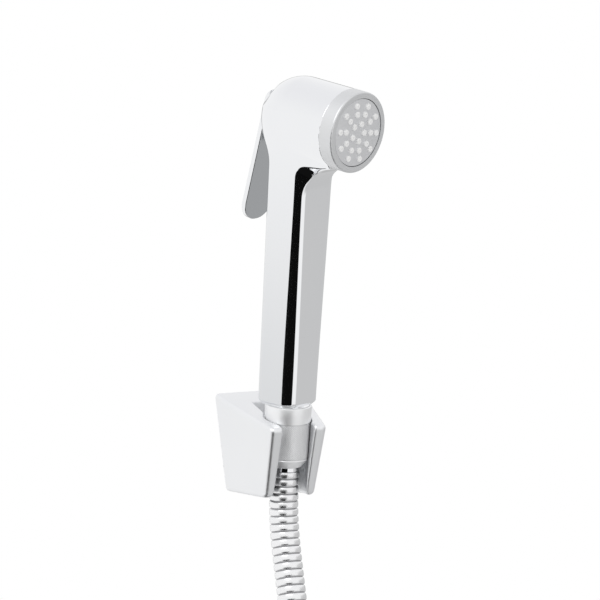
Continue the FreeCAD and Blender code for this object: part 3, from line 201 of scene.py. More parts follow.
satin = {
    "cloud": (60, 2), "grain": (5200, 3, 0.7),
    "metallic": 0.85, "rough": 0.34, "roughSpread": 0.12, "bump": (0.12, 0.00003),
}
moulded = {
    "cloud": (90, 2), "grain": (3600, 3),
    "metallic": 0.0, "rough": 0.36, "roughSpread": 0.16, "bump": (0.12, 0.00003),
}
turned = {
    "cloud": (140, 3), "grain": (1400, 2), "stretch": (0.2, 0.2, 6),
    "metallic": 1.0, "roughSpread": 0.16, "bump": (0.1, 0.00003),
}
finishes = {
    "chromePlate": {
        "cloud": (22, 2), "pale": (0.845, 0.855, 0.872), "deep": (0.875, 0.88, 0.89),
        "grain": (2600, 2), "metallic": 1.0, "rough": 0.02, "roughSpread": 0.01, "bump": (0.01, 0.00002),
        "wipe": {"noise": (900, 3), "stretch": (1, 1, 0.12), "rough": 0.02},
        "ripple": {"noise": (70, 1), "bump": (0.02, 0.0005)},
        # painted shade: darker colour in the bores, the bay, the lever's inner face and the lower sides,
        # which are also rougher
        "paintedShadeAndDull": {"attribute": "shade", "tone": (0.53, 0.545, 0.56), "rough": 0.2},
        "solids": ["handset_shell", "lever", "hose_collar", "end_collar", "end_nut", "inlet_fitting",
                   "gland_nut"],
    },
    "castChrome": {
        "cloud": (30, 2), "pale": (0.83, 0.84, 0.855), "deep": (0.87, 0.875, 0.885),
        "grain": (1500, 4, 0.6), "metallic": 1.0, "rough": 0.34, "roughSpread": 0.08,
        "bump": (0.012, 0.00002),
        "ripple": {"noise": (90, 2), "bump": (0.03, 0.0005)},
        "solids": ["wall_holder"],
    },
    "ringPlate": {**satin, "pale": (0.68, 0.69, 0.70), "deep": (0.74, 0.745, 0.755),
                  "solids": ["face_ring"]},
    "facePlate": {**satin, "pale": (0.74, 0.745, 0.76), "deep": (0.79, 0.795, 0.81),
                  "solids": ["spray_plate"]},
    "softChrome": {
        "cloud": (2200, 3), "pale": (0.88, 0.885, 0.895), "deep": (0.92, 0.925, 0.93),
        "grain": (2200, 3), "metallic": 0.75, "rough": 0.36, "roughSpread": 0.08, "bump": (0.04, 0.00002),
        # painted shade: the knurl's grooves are darkened
        "paintedShadeAndDull": {"attribute": "groove", "tone": (0.68, 0.685, 0.695), "rough": 0.0},
        "solids": ["cone_nut"],
    },
    "hoseChrome": {
        "cloud": (120, 2), "pale": (0.86, 0.865, 0.875), "deep": (0.90, 0.90, 0.905),
        "grain": (3000, 3), "metallic": 1.0, "rough": 0.24, "roughSpread": 0.05, "bump": (0.03, 0.00002),
        # painted shade: the hose's grooves are darkened, and also rougher
        "paintedShadeAndDull": {"attribute": "groove", "tone": (0.36, 0.36, 0.37), "rough": 0.2},
        "solids": [],
    },
    "silicone": {
        "cloud": (1800, 3), "pale": (0.88, 0.88, 0.875), "deep": (0.94, 0.94, 0.94),
        "grain": (1800, 3), "metallic": 0.0, "rough": 0.48, "roughSpread": 0.14, "bump": (0.1, 0.00004),
        "solids": ["nozzle_mat"],
    },
    "blackRubber": {
        "cloud": (2400, 4, 0.65), "pale": (0.018, 0.018, 0.019), "deep": (0.045, 0.045, 0.046),
        "grain": (2400, 4, 0.65), "metallic": 0.0, "rough": 0.55, "roughSpread": 0.2,
        "bump": (0.2, 0.00006),
        "solids": ["face_seal", "gland_seal", "piston_seal", "inlet_seal", "hose_washer", "end_washer"],
    },
    "whitePlastic": {**moulded, "pale": (0.82, 0.82, 0.80), "deep": (0.88, 0.88, 0.87),
                     "solids": ["diffuser", "spring_seat"]},
    "greyNylon": {**moulded, "pale": (0.50, 0.51, 0.52), "deep": (0.58, 0.59, 0.60),
                  "solids": ["wall_plug"]},
    "strapPlastic": {**moulded, "pale": (0.80, 0.81, 0.82), "deep": (0.86, 0.87, 0.88),
                     "solids": ["coil_tie"]},
    "brass": {**turned, "pale": (0.72, 0.57, 0.31), "deep": (0.78, 0.64, 0.38), "rough": 0.22,
              "solids": ["hose_nipple", "end_nipple"]},
    "plainSteel": {**turned, "pale": (0.60, 0.61, 0.62), "deep": (0.68, 0.69, 0.70), "rough": 0.24,
                   "solids": ["valve_spring", "valve_sleeve", "valve_spool", "lever_pin", "holder_screw"]},
}
made = {}
for name, plan in finishes.items():
    made[name] = newFinish(name, plan)
    for solidName in plan["solids"]:
        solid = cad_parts[solidName].data
        solid.materials.clear()
        solid.materials.append(made[name])
print("finishes set:", len(made))


# Mesh helpers

def newPiece(name, points, faces, finish, body, smoothAngle):
    mesh = bpy.data.meshes.new(name)
    mesh.from_pydata([tuple(p) for p in points], [], faces)
    mesh.update()
    mesh.shade_smooth()
    mesh.set_sharp_from_angle(angle=math.radians(smoothAngle))
    mesh.materials.append(finish)
    piece = bpy.data.objects.new(name, mesh)
    bpy.context.scene.collection.objects.link(piece)
    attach(piece, body)
    return piece


def giveValues(mesh, name, values):
    mesh.attributes.new(name, "FLOAT", "POINT").data.foreach_set("value", values)


def onCircle(radius, j, around):
    turn = 2 * math.pi * j / around
    return radius * math.cos(turn), radius * math.sin(turn)


def rowFaces(rows, around, closed):
    faces = []
    for i in range(rows if closed else rows - 1):
        below, above = i * around, (i + 1) % rows * around
        faces += [(below + j, below + (j + 1) % around, above + (j + 1) % around, above + j)
                  for j in range(around)]
    return faces


def splineLine(points, resolution):
    curve = bpy.data.curves.new("line", "CURVE")
    curve.dimensions = "3D"
    curve.resolution_u = resolution
    spline = curve.splines.new("NURBS")
    spline.points.add(len(points) - 1)
    for target, point in zip(spline.points, points):
        target.co = (*point, 1)
    spline.order_u = 3
    spline.use_endpoint_u = True
    carrier = bpy.data.objects.new("line", curve)
    bpy.context.scene.collection.objects.link(carrier)
    bpy.context.view_layer.update()
    mesh = bpy.data.meshes.new_from_object(carrier)
    line = [v.co.copy() for v in mesh.vertices]
    bpy.data.objects.remove(carrier)
    bpy.data.curves.remove(curve)
    bpy.data.meshes.remove(mesh)
    return line


def tubeSkin(places, radii, around, side, reach=0):  # reach: how many headings are averaged either way
    headings = [heading for middle, heading in places]
    points = []
    for i, ((middle, heading), radius) in enumerate(zip(places, radii)):
        smooth = sum(headings[max(i - reach, 0):i + reach + 1], Vector()).normalized()
        side = (side - smooth * side.dot(smooth)).normalized()
        other = smooth.cross(side)
        for j in range(around):
            across, along = onCircle(1, j, around)
            points.append(middle + (side * across + other * along) * radius * mm)
    faces = rowFaces(len(places), around, False)
    faces.append(tuple(reversed(range(around))))
    faces.append(tuple(range(len(points) - around, len(points))))
    return points, faces


# Cast pieces: each is a function of place, negative inside, and its skin is laid where it is nought.

laying = {"slopeStep": 0.02, "passes": 6, "flattest": 0.2}


def softMax(first, second, width):
    near = np.maximum(width - np.abs(first - second), 0) / width
    return np.maximum(first, second) + near * near * width / 4


def softMin(first, second, width):
    return -softMax(-first, -second, width)


def easeStep(value, low, high):
    share = np.clip((value - low) / (high - low), 0, 1)
    return share * share * (3 - 2 * share)


def roundCorner(first, second, radius):
    first, second = first + radius, second + radius
    outside = np.hypot(np.maximum(first, 0), np.maximum(second, 0)) - radius
    return outside + np.minimum(np.maximum(first, second), 0)


def slopeOf(shape, points):
    step = laying["slopeStep"]
    slope = np.empty_like(points)
    for axis in range(3):
        shift = np.zeros(3)
        shift[axis] = step
        slope[:, axis] = (shape(*(points + shift).T) - shape(*(points - shift).T)) / (2 * step)
    return slope


def gridCrossings(values, low, cell):
    inside = values < 0
    cells = tuple(n - 1 for n in values.shape)
    total, crossed = np.zeros((*cells, 3)), np.zeros(cells)
    base = np.stack(np.meshgrid(*(np.arange(n) for n in cells), indexing="ij"), axis=-1)
    for axis in range(3):
        for first in (0, 1):
            for second in (0, 1):
                offset = [first, second]
                offset.insert(axis, 0)
                here = tuple(slice(o, o + n) for o, n in zip(offset, cells))
                there = tuple(slice(o + (i == axis), o + (i == axis) + n)
                              for i, (o, n) in enumerate(zip(offset, cells)))
                a, b = values[here], values[there]
                cross = (a < 0) != (b < 0)
                share = np.where(cross, a / np.where(cross, a - b, 1), 0)
                place = base + np.array(offset, float)
                place[..., axis] += share
                total += place * cross[..., None]
                crossed += cross
    used = crossed > 0
    index = np.full(cells, -1)
    index[used] = np.arange(used.sum())
    points = np.array(low) + cell * total[used] / crossed[used][:, None]
    faces = []
    for axis in range(3):
        order = (axis, (axis + 1) % 3, (axis + 2) % 3)
        ins, idx = inside.transpose(order), index.transpose(order)
        start, end = ins[:-1, 1:-1, 1:-1], ins[1:, 1:-1, 1:-1]
        ring = np.stack([idx[:, :-1, :-1], idx[:, 1:, :-1], idx[:, 1:, 1:], idx[:, :-1, 1:]], axis=-1)
        faces.append(ring[start & ~end])
        faces.append(ring[end & ~start][:, ::-1])
    return points, np.concatenate(faces)


def castPiece(name, shape, plan, place, finish, body, node, shade=None):
    (low, high), cell = plan["castBox"], plan["castCell"]
    axes = [np.arange(l, h + cell, cell) for l, h in zip(low, high)]
    values = shape(*np.meshgrid(*axes, indexing="ij"))
    started, faces = gridCrossings(values, low, cell)
    points = started.copy()
    for turn in range(laying["passes"]):  # each pass brings the points nearer to the true skin
        slope = slopeOf(shape, points)
        steepness = np.maximum((slope ** 2).sum(1), laying["flattest"])
        push = slope * (shape(*points.T) / steepness)[:, None]
        points = started + np.clip(points - push - started, -cell, cell)
    normals = slopeOf(shape, points)
    normals /= np.linalg.norm(normals, axis=1)[:, None]
    rotation = np.array(place.to_3x3())
    placed = points @ rotation.T * mm + np.array(place.translation)
    mesh = bpy.data.meshes.new(name)
    mesh.from_pydata(placed.tolist(), [], faces.tolist())
    mesh.update()
    mesh.shade_smooth()
    mesh.normals_split_custom_set_from_vertices((normals @ rotation.T).tolist())
    # painted shade mask, stored on the mesh for the finish to darken the colour
    if shade:
        giveValues(mesh, "shade", shade(*points.T))
    mesh.materials.append(finish)
    piece = bpy.data.objects.new(name, mesh)
    bpy.context.scene.collection.objects.link(piece)
    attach(piece, body)
    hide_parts(node)
    print(name, "laid:", len(points), "points")
    return piece


def tangent(degrees):
    return math.tan(math.radians(degrees))


def polygonGap(across, up, corners):  # distance to a closed outline, negative inside
    nearest = np.full(across.shape, np.inf)
    within = np.zeros(across.shape, bool)
    for (ax, ay), (bx, by) in zip(corners, corners[1:] + corners[:1]):
        ex, ey = bx - ax, by - ay
        share = np.clip(((across - ax) * ex + (up - ay) * ey) / (ex * ex + ey * ey), 0, 1)
        nearest = np.minimum(nearest, np.hypot(across - ax - share * ex, up - ay - share * ey))
        if ey:
            passes = (up >= min(ay, by)) & (up < max(ay, by))
            within ^= passes & (across < ax + (up - ay) * ex / ey)
    return np.where(within, -nearest, nearest)


handset = {  # in the handset's own frame: x across, y back, z up from the foot of the handle
    "halfWidth": 12.85,
    "halfDepth": 10.6,
    "draft": 0.35,
    "bevel": 3.7,
    "bevelWidens": 1.0,  # towards the foot, between these heights
    "bevelWidensOver": (10, 110),
    "bevelEdge": 0.45,
    "frontEdge": 1.3,
    "rearRound": 4.0,
    "footBevel": 2.1,
    "footEdge": 0.4,
    "headHeight": 142.5,
    "headRadius": 20.0,
    "headNod": 2.5,
    "headFront": 26.9,
    "neckStart": 9.0,
    "neckHinge": 10.0,
    "neckDepth": 24.6,
    "neckRise": 15.5,
    "neckRound": 13.0,
    "neckEdgeRound": 5.0,
    "neckNarrows": 3.6,
    "bevelFades": 2.9,
    "headBlend": (2.0, 9.0),  # tight in front, wide at the back
    "headBlendOver": (-9, 4),
    "bore": (7.8, 117.0),  # radius, top
    "valveBore": (6.56, 131.3, 11.0),  # radius, height, reach to the front
    "chamber": (15.7, 10.0),  # radius, back wall
    "pivot": (10.3, 148.3),  # of the lever: back, up
    "bayFloor": 3.7,
    "bayHub": 3.4,
    "bayHalfWidth": 10.6,
    "bayLean": 80.6,
    "bayReach": (-31.6, 20.0, 40.0),  # from the pivot: down, up, back
    "bayEdge": 0.5,
    "bayRim": 0.7,
    # painted shade: masks for the darkened bores and bay, and for the sides darkening towards the foot
    "paintedShadeInside": (0.4, 1.4),
    "paintedShadeCheek": {"across": (11.5, 12.6), "up": (-40, 150), "share": 0.55},
    "castBox": ((-22, -30, -1.4), (22, 22, 164)),
    "castCell": 0.55,
}


def shellSkin(x, y, z):  # the outside of the casting, without its bay and bores
    plan = handset
    draft = np.clip(z, 0, None) * tangent(plan["draft"])
    side = np.abs(x)
    nod = math.radians(plan["headNod"])
    rise = z - plan["headHeight"]
    ahead = -y * math.cos(nod) - rise * math.sin(nod)
    above = -y * math.sin(nod) + rise * math.cos(nod)
    # handle and neck: one bent body, and its bevel widens in the bend and runs out at the ring
    late = easeStep(ahead, plan["neckStart"], plan["headFront"])
    width = side - plan["halfWidth"] - draft + plan["neckNarrows"] * late
    front = -y - plan["halfDepth"] - draft
    lean = math.radians(plan["neckRise"])
    under = (-rise - plan["neckDepth"]) * math.cos(lean) + (-y - plan["neckHinge"]) * math.sin(lean)
    face = softMin(front, under, plan["neckRound"])
    edge = softMin(front, under, plan["neckEdgeRound"])
    low = 1 - easeStep(z, *plan["bevelWidensOver"])
    cut = plan["bevel"] + plan["bevelWidens"] * low - plan["bevelFades"] * late
    bevel = (width + edge + cut) / math.sqrt(2)
    fore = softMax(softMax(width, bevel, plan["bevelEdge"]), face, plan["frontEdge"])
    rear = roundCorner(width, y - plan["halfDepth"] - draft, plan["rearRound"])
    section = np.where(y > 0, rear, fore)
    foot = softMax(-z, (section - z + plan["footBevel"]) / math.sqrt(2), plan["footEdge"])
    body = np.maximum(softMax(section, foot, plan["footEdge"]), above)
    # round head
    tube = np.hypot(side, above)
    head = np.where(ahead < 0, np.hypot(tube, ahead), tube) - plan["headRadius"]
    tight, wide = plan["headBlend"]
    outside = softMin(body, head, tight + (wide - tight) * easeStep(y, *plan["headBlendOver"]))
    chamberRadius, chamberBack = plan["chamber"]
    chamber = np.maximum(tube - chamberRadius, chamberBack - ahead)
    return np.maximum(np.maximum(outside, ahead - plan["headFront"]), -chamber)


def shellShade(x, y, z):  # painted shade: bores and bay are darkened, and the sides darken a little towards the foot; these places are also rougher
    cheek = handset["paintedShadeCheek"]
    beside = easeStep(np.abs(x), *cheek["across"]) * (1 - easeStep(z, *cheek["up"]))
    return np.maximum(easeStep(-shellSkin(x, y, z), *handset["paintedShadeInside"]), cheek["share"] * beside)


def shellShape(x, y, z):
    plan = handset
    outside = shellSkin(x, y, z)
    side = np.abs(x)
    # lever bay and bores
    pivotBack, pivotUp = plan["pivot"]
    floor, hub = plan["bayFloor"], plan["bayHub"]
    low, high, far = plan["bayReach"]
    lean = tangent(plan["bayLean"])
    outline = [(floor, low), (floor, -hub), (-hub, -hub), (-hub, hub), (hub / lean, hub),
               (high / lean, high), (far, high), (far, low)]
    bay = polygonGap(y - pivotBack, z - pivotUp, outline)
    bay = softMax(bay, side - plan["bayHalfWidth"], plan["bayEdge"])
    shell = softMax(outside, -bay, plan["bayRim"])
    boreRadius, boreTop = plan["bore"]
    shell = np.maximum(shell, np.minimum(boreRadius - np.hypot(x, y), boreTop - z))
    valveRadius, valveLevel, valveFront = plan["valveBore"]
    valve = np.maximum(np.hypot(x, z - valveLevel) - valveRadius, -valveFront - y)
    return np.maximum(shell, -valve)


shell = castPiece("handsetShell", shellShape, handset, handsetFrame, made["chromePlate"],
                  "handset", "handset_shell", shellShade)
shell.visible_glossy = False  # the neck is not mirrored in the head


holder = {  # in the row frame: the wall is at y = 0
    "height": 48.4,
    "width": 42.4,
    "sideDraft": 5.8,
    "noseDraft": 8.9,
    "topDepth": 45.5,
    "topSlope": 18.2,
    "footDepth": 32.6,
    "footSlope": 2.7,
    "edge": 2.6,
    "boreRadius": 11.75,
    "boreSlope": 0.0161,
    "boreSlopeOver": (-60, 10),  # heights along the bore between which it tapers
    "slotWidth": 16.9,
    "slotEdge": 0.5,
    "slotRound": 0.4,
    "rimEdge": 1.6,
    "recessDepth": 7.0,
    "recessWall": 12.6,
    "recessWidth": 19.0,
    "recessEdge": 0.8,
    "coreDepth": 9.4,
    "coreWall": 3.0,
    "coreWeb": 14.0,
    "screwLevel": -7.0,
    "screwHole": 2.25,
    "screwHead": 4.5,
    "screwSeat": 13.0,
    "castBox": ((-24, -47.5, -28), (24, 1.2, 26)),
    "castCell": 0.5,
}


def holderShape(x, y, z):
    plan = holder
    nose, slope, fall = (math.radians(plan[k]) for k in ("noseDraft", "topSlope", "footSlope"))
    side = np.abs(x) - plan["width"] / 2 - z * tangent(plan["sideDraft"]) - y * math.tan(nose)
    side = side * math.cos(nose)
    half = plan["height"] / 2
    top = (z - half - y * math.tan(slope)) * math.cos(slope)
    foot = (-z - half + y * math.tan(fall)) * math.cos(fall)
    lowCorner = Vector((-plan["footDepth"], -half - plan["footDepth"] * math.tan(fall)))
    highCorner = Vector((-plan["topDepth"], half - plan["topDepth"] * math.tan(slope)))
    run = (highCorner - lowCorner).normalized()
    front = -(y - lowCorner.x) * run.y + (z - lowCorner.y) * run.x
    edge = plan["edge"]
    block = softMax(softMax(softMax(side, front, edge), top, edge), foot, edge)
    block = np.maximum(block, y)
    # bore, slot and rear recess
    lean = math.radians(boreLine["lean"])
    boreDepth, boreLevel = boreLine["middle"][1:]
    up = -(y - boreDepth) * math.sin(lean) + (z - boreLevel) * math.cos(lean)
    across = (y - boreDepth) * math.cos(lean) + (z - boreLevel) * math.sin(lean)
    boreRadius = plan["boreRadius"] + plan["boreSlope"] * np.clip(up, *plan["boreSlopeOver"])
    bore = np.hypot(x, across) - boreRadius
    slot = softMax(np.abs(x) - plan["slotWidth"] / 2, across, plan["slotEdge"])
    block = softMax(block, -softMin(bore, slot, plan["slotRound"]), plan["rimEdge"])
    recessFloor = half - plan["recessDepth"] - plan["recessWall"] * math.tan(slope)
    recess = np.maximum(np.maximum(np.abs(x) - plan["recessWidth"] / 2, y + plan["recessWall"]),
                        np.maximum(boreDepth - y, recessFloor - z))
    block = softMax(block, -recess, plan["recessEdge"])
    core = np.maximum(np.maximum(-plan["coreDepth"] - y, side + plan["coreWall"]),
                      np.maximum(top + plan["coreWall"], foot + plan["coreWall"]))
    core = np.maximum(core, plan["coreWeb"] / 2 - np.abs(x))
    block = np.maximum(block, -core)
    screw = np.hypot(x, z - plan["screwLevel"])
    block = np.maximum(block, plan["screwHole"] - screw)
    return np.maximum(block, -np.maximum(screw - plan["screwHead"], y + plan["screwSeat"]))


castPiece("holderBody", holderShape, holder, Matrix.Identity(4), made["castChrome"], "holder",
          "wall_holder")


lever = {
    "pivot": handset["pivot"],
    "lean": 11.6,
    "halfWidth": 10.2,
    "inner": 4.1,  # the blade's two faces, and the cap's, from the pivot
    "outer": 7.1,
    "length": 63.4,
    "tipRound": 9.6,
    "capTurn": 63.0,  # how far the cap reaches over the head
    "lugHalfWidth": 4.0,
    "lugRadius": 3.0,
    "pinHole": 1.3,
    "webInto": 1.5,
    "webRound": 0.4,
    "edge": 0.9,
    # painted shade: where the lever's inner face starts and ends being darkened
    "paintedShadeOver": (0.1, 0.6),
    "castBox": ((-11.5, 6, 83), (11.5, 32, 157)),
    "castCell": 0.4,
}


def leverPlace(y, z):  # how far behind the lever's pivot and above it, along the blade
    lean = math.radians(lever["lean"])
    backward, upward = y - lever["pivot"][0], z - lever["pivot"][1]
    return (backward * math.cos(lean) + upward * math.sin(lean),
            -backward * math.sin(lean) + upward * math.cos(lean))


def leverShade(x, y, z):  # painted shade: the inner face is darkened, and also rougher
    back, up = leverPlace(y, z)
    start, end = lever["paintedShadeOver"]
    return 1 - easeStep(back, lever["inner"] + start, lever["inner"] + end)


def leverShape(x, y, z):
    plan = lever
    side = np.abs(x)
    back, up = leverPlace(y, z)
    width = side - plan["halfWidth"]
    tip = roundCorner(width, -up - plan["length"], plan["tipRound"])
    slab = np.maximum(plan["inner"] - back, back - plan["outer"])
    blade = np.maximum(softMax(tip, slab, plan["edge"]), up)
    away = np.hypot(back, up)
    shell = np.maximum(plan["inner"] - away, away - plan["outer"])
    turn = math.radians(plan["capTurn"])
    past = up * math.cos(turn) - back * math.sin(turn)
    cap = softMax(softMax(width, shell, plan["edge"]), past, plan["edge"])
    cap = np.maximum(cap, -up)
    lug = np.maximum(away - plan["lugRadius"], side - plan["lugHalfWidth"])
    web = np.maximum(-back, back - plan["inner"] - plan["webInto"])
    web = np.maximum(np.maximum(web, np.abs(up) - plan["lugRadius"]), side - plan["lugHalfWidth"])
    foot = softMin(lug, web, plan["webRound"])
    return np.maximum(np.minimum(np.minimum(blade, cap), foot), plan["pinHole"] - away)


castPiece("thumbLever", leverShape, lever, handsetFrame, made["chromePlate"], "lever", "lever", leverShade)


# Valve spring, which the spool presses against its seat

spring = {
    "front": -8.45,
    "rear": -2.65,
    "height": handset["valveBore"][1],
    "radius": 3.1,
    "wire": 0.35,
    "turns": 4,
    "perTurn": 16,
    "resolution": 4,
    "around": 12,
    "smoothAngle": 60,
    "seat": -8.8,
    "keep": 0.53,  # share of its length left when the lever is pressed
}


def makeSpring(plan):
    steps = plan["turns"] * plan["perTurn"]
    points = []
    for i in range(steps + 1):
        across, above = onCircle(plan["radius"], i, plan["perTurn"])
        along = plan["front"] + (plan["rear"] - plan["front"]) * i / steps
        points.append(Vector((across, along, plan["height"] + above)) * mm)
    line = splineLine(points, plan["resolution"])
    places = [(a, (b - a).normalized()) for a, b in zip(line, line[1:])]
    places.append((line[-1], places[-1][1]))
    side = places[0][1].orthogonal()
    points, faces = tubeSkin(places, [plan["wire"]] * len(places), plan["around"], side)
    piece = newPiece("valveSpring", [handsetFrame @ p for p in points], faces, made["plainSteel"],
                     "handset", plan["smoothAngle"])
    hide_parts("valve_spring")
    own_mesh(piece)
    print("spring made:", len(points), "points")


makeSpring(spring)


# Hose

hose = {
    "width": 14.2,
    "length": 1227.6,
    "exit": (0, -27.970, -12.299),  # under the conical nut
    "hang": [
        (0, -25.538, -26.086), (0, -25.538, -42.086), (0, -28.942, -59.761), (0, -34.341, -83.146),
        (0, -37.048, -108.904), (6.212, -37.048, -132.087), (18.212, -37.048, -152.871),
        (35.182, -37.048, -169.842),
    ],
    "coilCentre": (-7.810, -38.973, -232.916),
    "coilRadius": 75.0,
    "coilPitch": 15.4,
    "coilStart": 45.0,
    "coilTurn": 765.0,
    "coilPoints": 30,
    "end": (67.190, -69.773, -274.916),
    "ribPitch": 3.86,
    "ribs": [  # share of the pitch, radius
        (0.0, 6.36), (0.05, 6.42), (0.10, 6.80), (0.18, 6.99), (0.32, 7.08), (0.50, 7.10),
        (0.68, 7.08), (0.82, 6.99), (0.90, 6.80), (0.95, 6.42),
    ],
    "around": 40,
    "resolution": 16,
    "headingReach": 4,  # stations over which the rib's heading is smoothed
    "grooveTop": 0.25,  # depth at which a groove's painted shade and roughness start
    "smoothAngle": 60,
}


def hosePoints(plan):
    step = plan["coilTurn"] / plan["coilPoints"]
    radius = plan["coilRadius"] / math.cos(math.radians(step / 2))
    centre = Vector(plan["coilCentre"])
    points = [Vector(plan["exit"])] + [Vector(p) for p in plan["hang"]]
    for i in range(plan["coilPoints"]):
        angle = plan["coilStart"] - (i + 0.5) * step
        around = math.radians(angle)
        drift = plan["coilPitch"] * angle / 360
        points.append(centre + Vector((radius * math.cos(around), drift, radius * math.sin(around))))
    return [p * mm for p in points + [Vector(plan["end"])]]


def alongLine(line, distances):
    found = []
    i, gone = 0, 0.0
    for distance in distances:
        while i < len(line) - 2 and gone + (line[i + 1] - line[i]).length < distance:
            gone += (line[i + 1] - line[i]).length
            i += 1
        run = line[i + 1] - line[i]
        found.append((line[i] + run * ((distance - gone) / run.length), run.normalized()))
    return found


def makeHose(plan):
    line = splineLine(hosePoints(plan), plan["resolution"])
    total = sum((b - a).length for a, b in zip(line, line[1:]))
    count = round(total / (plan["ribPitch"] * mm))
    pitch = total / count
    stations = [((i + share) * pitch, radius) for i in range(count) for share, radius in plan["ribs"]]
    stations.append((total, plan["ribs"][0][1]))
    places = alongLine(line, [station for station, radius in stations])
    radii = [radius for station, radius in stations]
    points, faces = tubeSkin(places, radii, plan["around"], Vector((1, 0, 0)), plan["headingReach"])
    # painted shade in the grooves: the deeper the groove, the darker
    low, high = plan["ribs"][0][1], plan["width"] / 2 - plan["grooveTop"]
    depths = [max(0.0, min(1.0, (high - radius) / (high - low)))
              for radius in radii for j in range(plan["around"])]
    piece = newPiece("ribbedHose", points, faces, made["hoseChrome"], "hose_end", plan["smoothAngle"])
    giveValues(piece.data, "groove", depths)
    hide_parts("hose_armour", "hose_coil", "inner_tube")
    print("hose:", round(total, 4), "m,", count, "ribs")


makeHose(hose)


# Conical nut

nut = {
    "radius": 11.45,
    "footRadius": 10.95,
    "length": 31.0,
    "crown": [(10.45, -0.3), (10.95, -0.3), (11.2, -0.36), (11.38, -0.52), (11.45, -0.8)],
    "upperBand": [(-4.5, 0), (-8.2, 0), (-8.35, 0.1)],  # height, and how deep under the cone
    "knurlTop": -8.6,
    "knurlFoot": -26.4,
    "knurlDepth": 0.24,
    "fade": (0.25, 6),  # the knurl grows from this share over this many rows
    "teeth": 80,
    "toothRows": 20,
    "around": 4,
    "lowerBand": [(-26.65, 0.1), (-26.8, 0)],
    "footAndBore": [(10.93, -27.1), (10.80, -27.3), (8.05, -30.75), (7.75, -30.97), (7.45, -31.0),
                    (7.15, -30.9), (7.15, -16.3), (9.6, -16.3), (9.6, -11.0), (10.45, -11.0)],
    "smoothAngle": 22,
}


def makeNut(plan):
    columns = plan["teeth"] * plan["around"]
    steps = plan["toothRows"] * plan["around"]

    def coneRadius(z):
        return plan["radius"] + (plan["radius"] - plan["footRadius"]) * z / plan["length"]

    def onCone(band):
        return [(coneRadius(z) - depth, z) for z, depth in band]

    def zigzag(count):
        return abs(2 * ((count / plan["around"]) % 1) - 1)

    def plain(profile):
        return [(z, [radius] * columns) for radius, z in profile]

    rows = plain(plan["crown"] + onCone(plan["upperBand"]))
    leastFade, fadeSteps = plan["fade"]
    for i in range(steps + 1):
        z = plan["knurlTop"] + (plan["knurlFoot"] - plan["knurlTop"]) * i / steps
        fade = min(1.0, leastFade + i / fadeSteps, leastFade + (steps - i) / fadeSteps)
        rows.append((z, [coneRadius(z) - plan["knurlDepth"] * (1 - fade * min(zigzag(i + j), zigzag(i - j)))
                         for j in range(columns)]))
    rows += plain(onCone(plan["lowerBand"]) + plan["footAndBore"])
    points, depths = [], []
    for z, ring in rows:
        knurled = plan["knurlFoot"] <= z <= plan["knurlTop"]
        for j, radius in enumerate(ring):
            points.append(boreFrame @ (Vector((*onCircle(radius, j, columns), z)) * mm))
            # painted shade: the knurl's grooves are darker the deeper they are
            depths.append((coneRadius(z) - radius) / plan["knurlDepth"] if knurled else 0.0)
    piece = newPiece("knurledNut", points, rowFaces(len(rows), columns, True), made["softChrome"],
                     "handset", plan["smoothAngle"])
    giveValues(piece.data, "groove", depths)
    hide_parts("cone_nut")
    print("nut made:", len(points), "points")


makeNut(nut)


# Spray face: a flat plate, and a rubber mat whose nubs stand through it in rows that lie level in the photo

sprayFace = {  # profiles are radius and depth behind the plate's front
    "middle": (0, 0, handset["headHeight"]),
    "nod": handset["headNod"],
    "turn": -7.3,
    "front": 34.35,
    "plate": [(0, 0), (16.0, 0), (16.5, 0.08), (16.69, 0.3), (16.69, 2.06), (17.9, 2.06),
              (17.9, 3.2), (0, 3.2)],
    "mat": [(0, 3.25), (17.9, 3.25), (17.9, 4.4), (0, 4.4)],
    "nub": [(0, -0.55), (0.34, -0.58), (0.5, -0.86), (0.75, -1.0), (1.1, -0.96), (1.38, -0.78),
            (1.52, -0.5), (1.55, -0.15), (1.55, 3.3), (0, 3.3)],
    "circles": [(13.5, 10), (9.25, 10), (4.4, 5)],  # radius, nubs
    "around": 128,
    "nubAround": 24,
    "weld": 1e-6,
    "smoothAngle": 30,
}


def turnedForm(profile, around, middle=(0, 0)):
    points, faces = [], []
    for radius, depth in profile:
        for j in range(around):
            across, up = onCircle(radius, j, around)
            points.append((middle[0] + across, middle[1] + up, depth))
    for i in range(len(profile) - 1):
        below, above = i * around, (i + 1) * around
        faces += [(below + j, above + j, above + (j + 1) % around, below + (j + 1) % around)
                  for j in range(around)]
    return points, faces


def makeSprayFace(plan):
    nod = Matrix.Rotation(math.radians(plan["nod"]), 4, "X") @ Matrix.Rotation(math.radians(90), 4, "X")
    spin = Matrix.Rotation(math.radians(plan["turn"]), 4, "Z")
    place = handsetFrame @ Matrix.Translation(Vector(plan["middle"]) * mm) @ nod @ spin

    def placed(forms, name, finish, node):
        points, faces = [], []
        for formPoints, formFaces in forms:
            start = len(points)
            points += [place @ (Vector((x, y, plan["front"] - depth)) * mm) for x, y, depth in formPoints]
            faces += [tuple(start + k for k in face) for face in formFaces]
        piece = newPiece(name, points, faces, finish, "handset", plan["smoothAngle"])
        welded = bmesh.new()
        welded.from_mesh(piece.data)
        bmesh.ops.remove_doubles(welded, verts=welded.verts, dist=plan["weld"])
        bmesh.ops.recalc_face_normals(welded, faces=welded.faces)
        welded.to_mesh(piece.data)
        welded.free()
        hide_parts(node)
        return piece

    plate = placed([turnedForm(plan["plate"], plan["around"])],
                   "sprayPlate", made["facePlate"], "spray_plate")
    forms = [turnedForm(plan["mat"], plan["around"])]
    for radius, count in plan["circles"]:
        forms += [turnedForm(plan["nub"], plan["nubAround"], onCircle(radius, k, count))
                  for k in range(count)]
    mat = placed(forms, "nozzleMat", made["silicone"], "nozzle_mat")
    print("spray face made:", len(forms) - 1, "nubs")


makeSprayFace(sprayFace)


# Studio: a pale floor that fades into a white room, one soft lamp, and dark screens that the chrome shows.

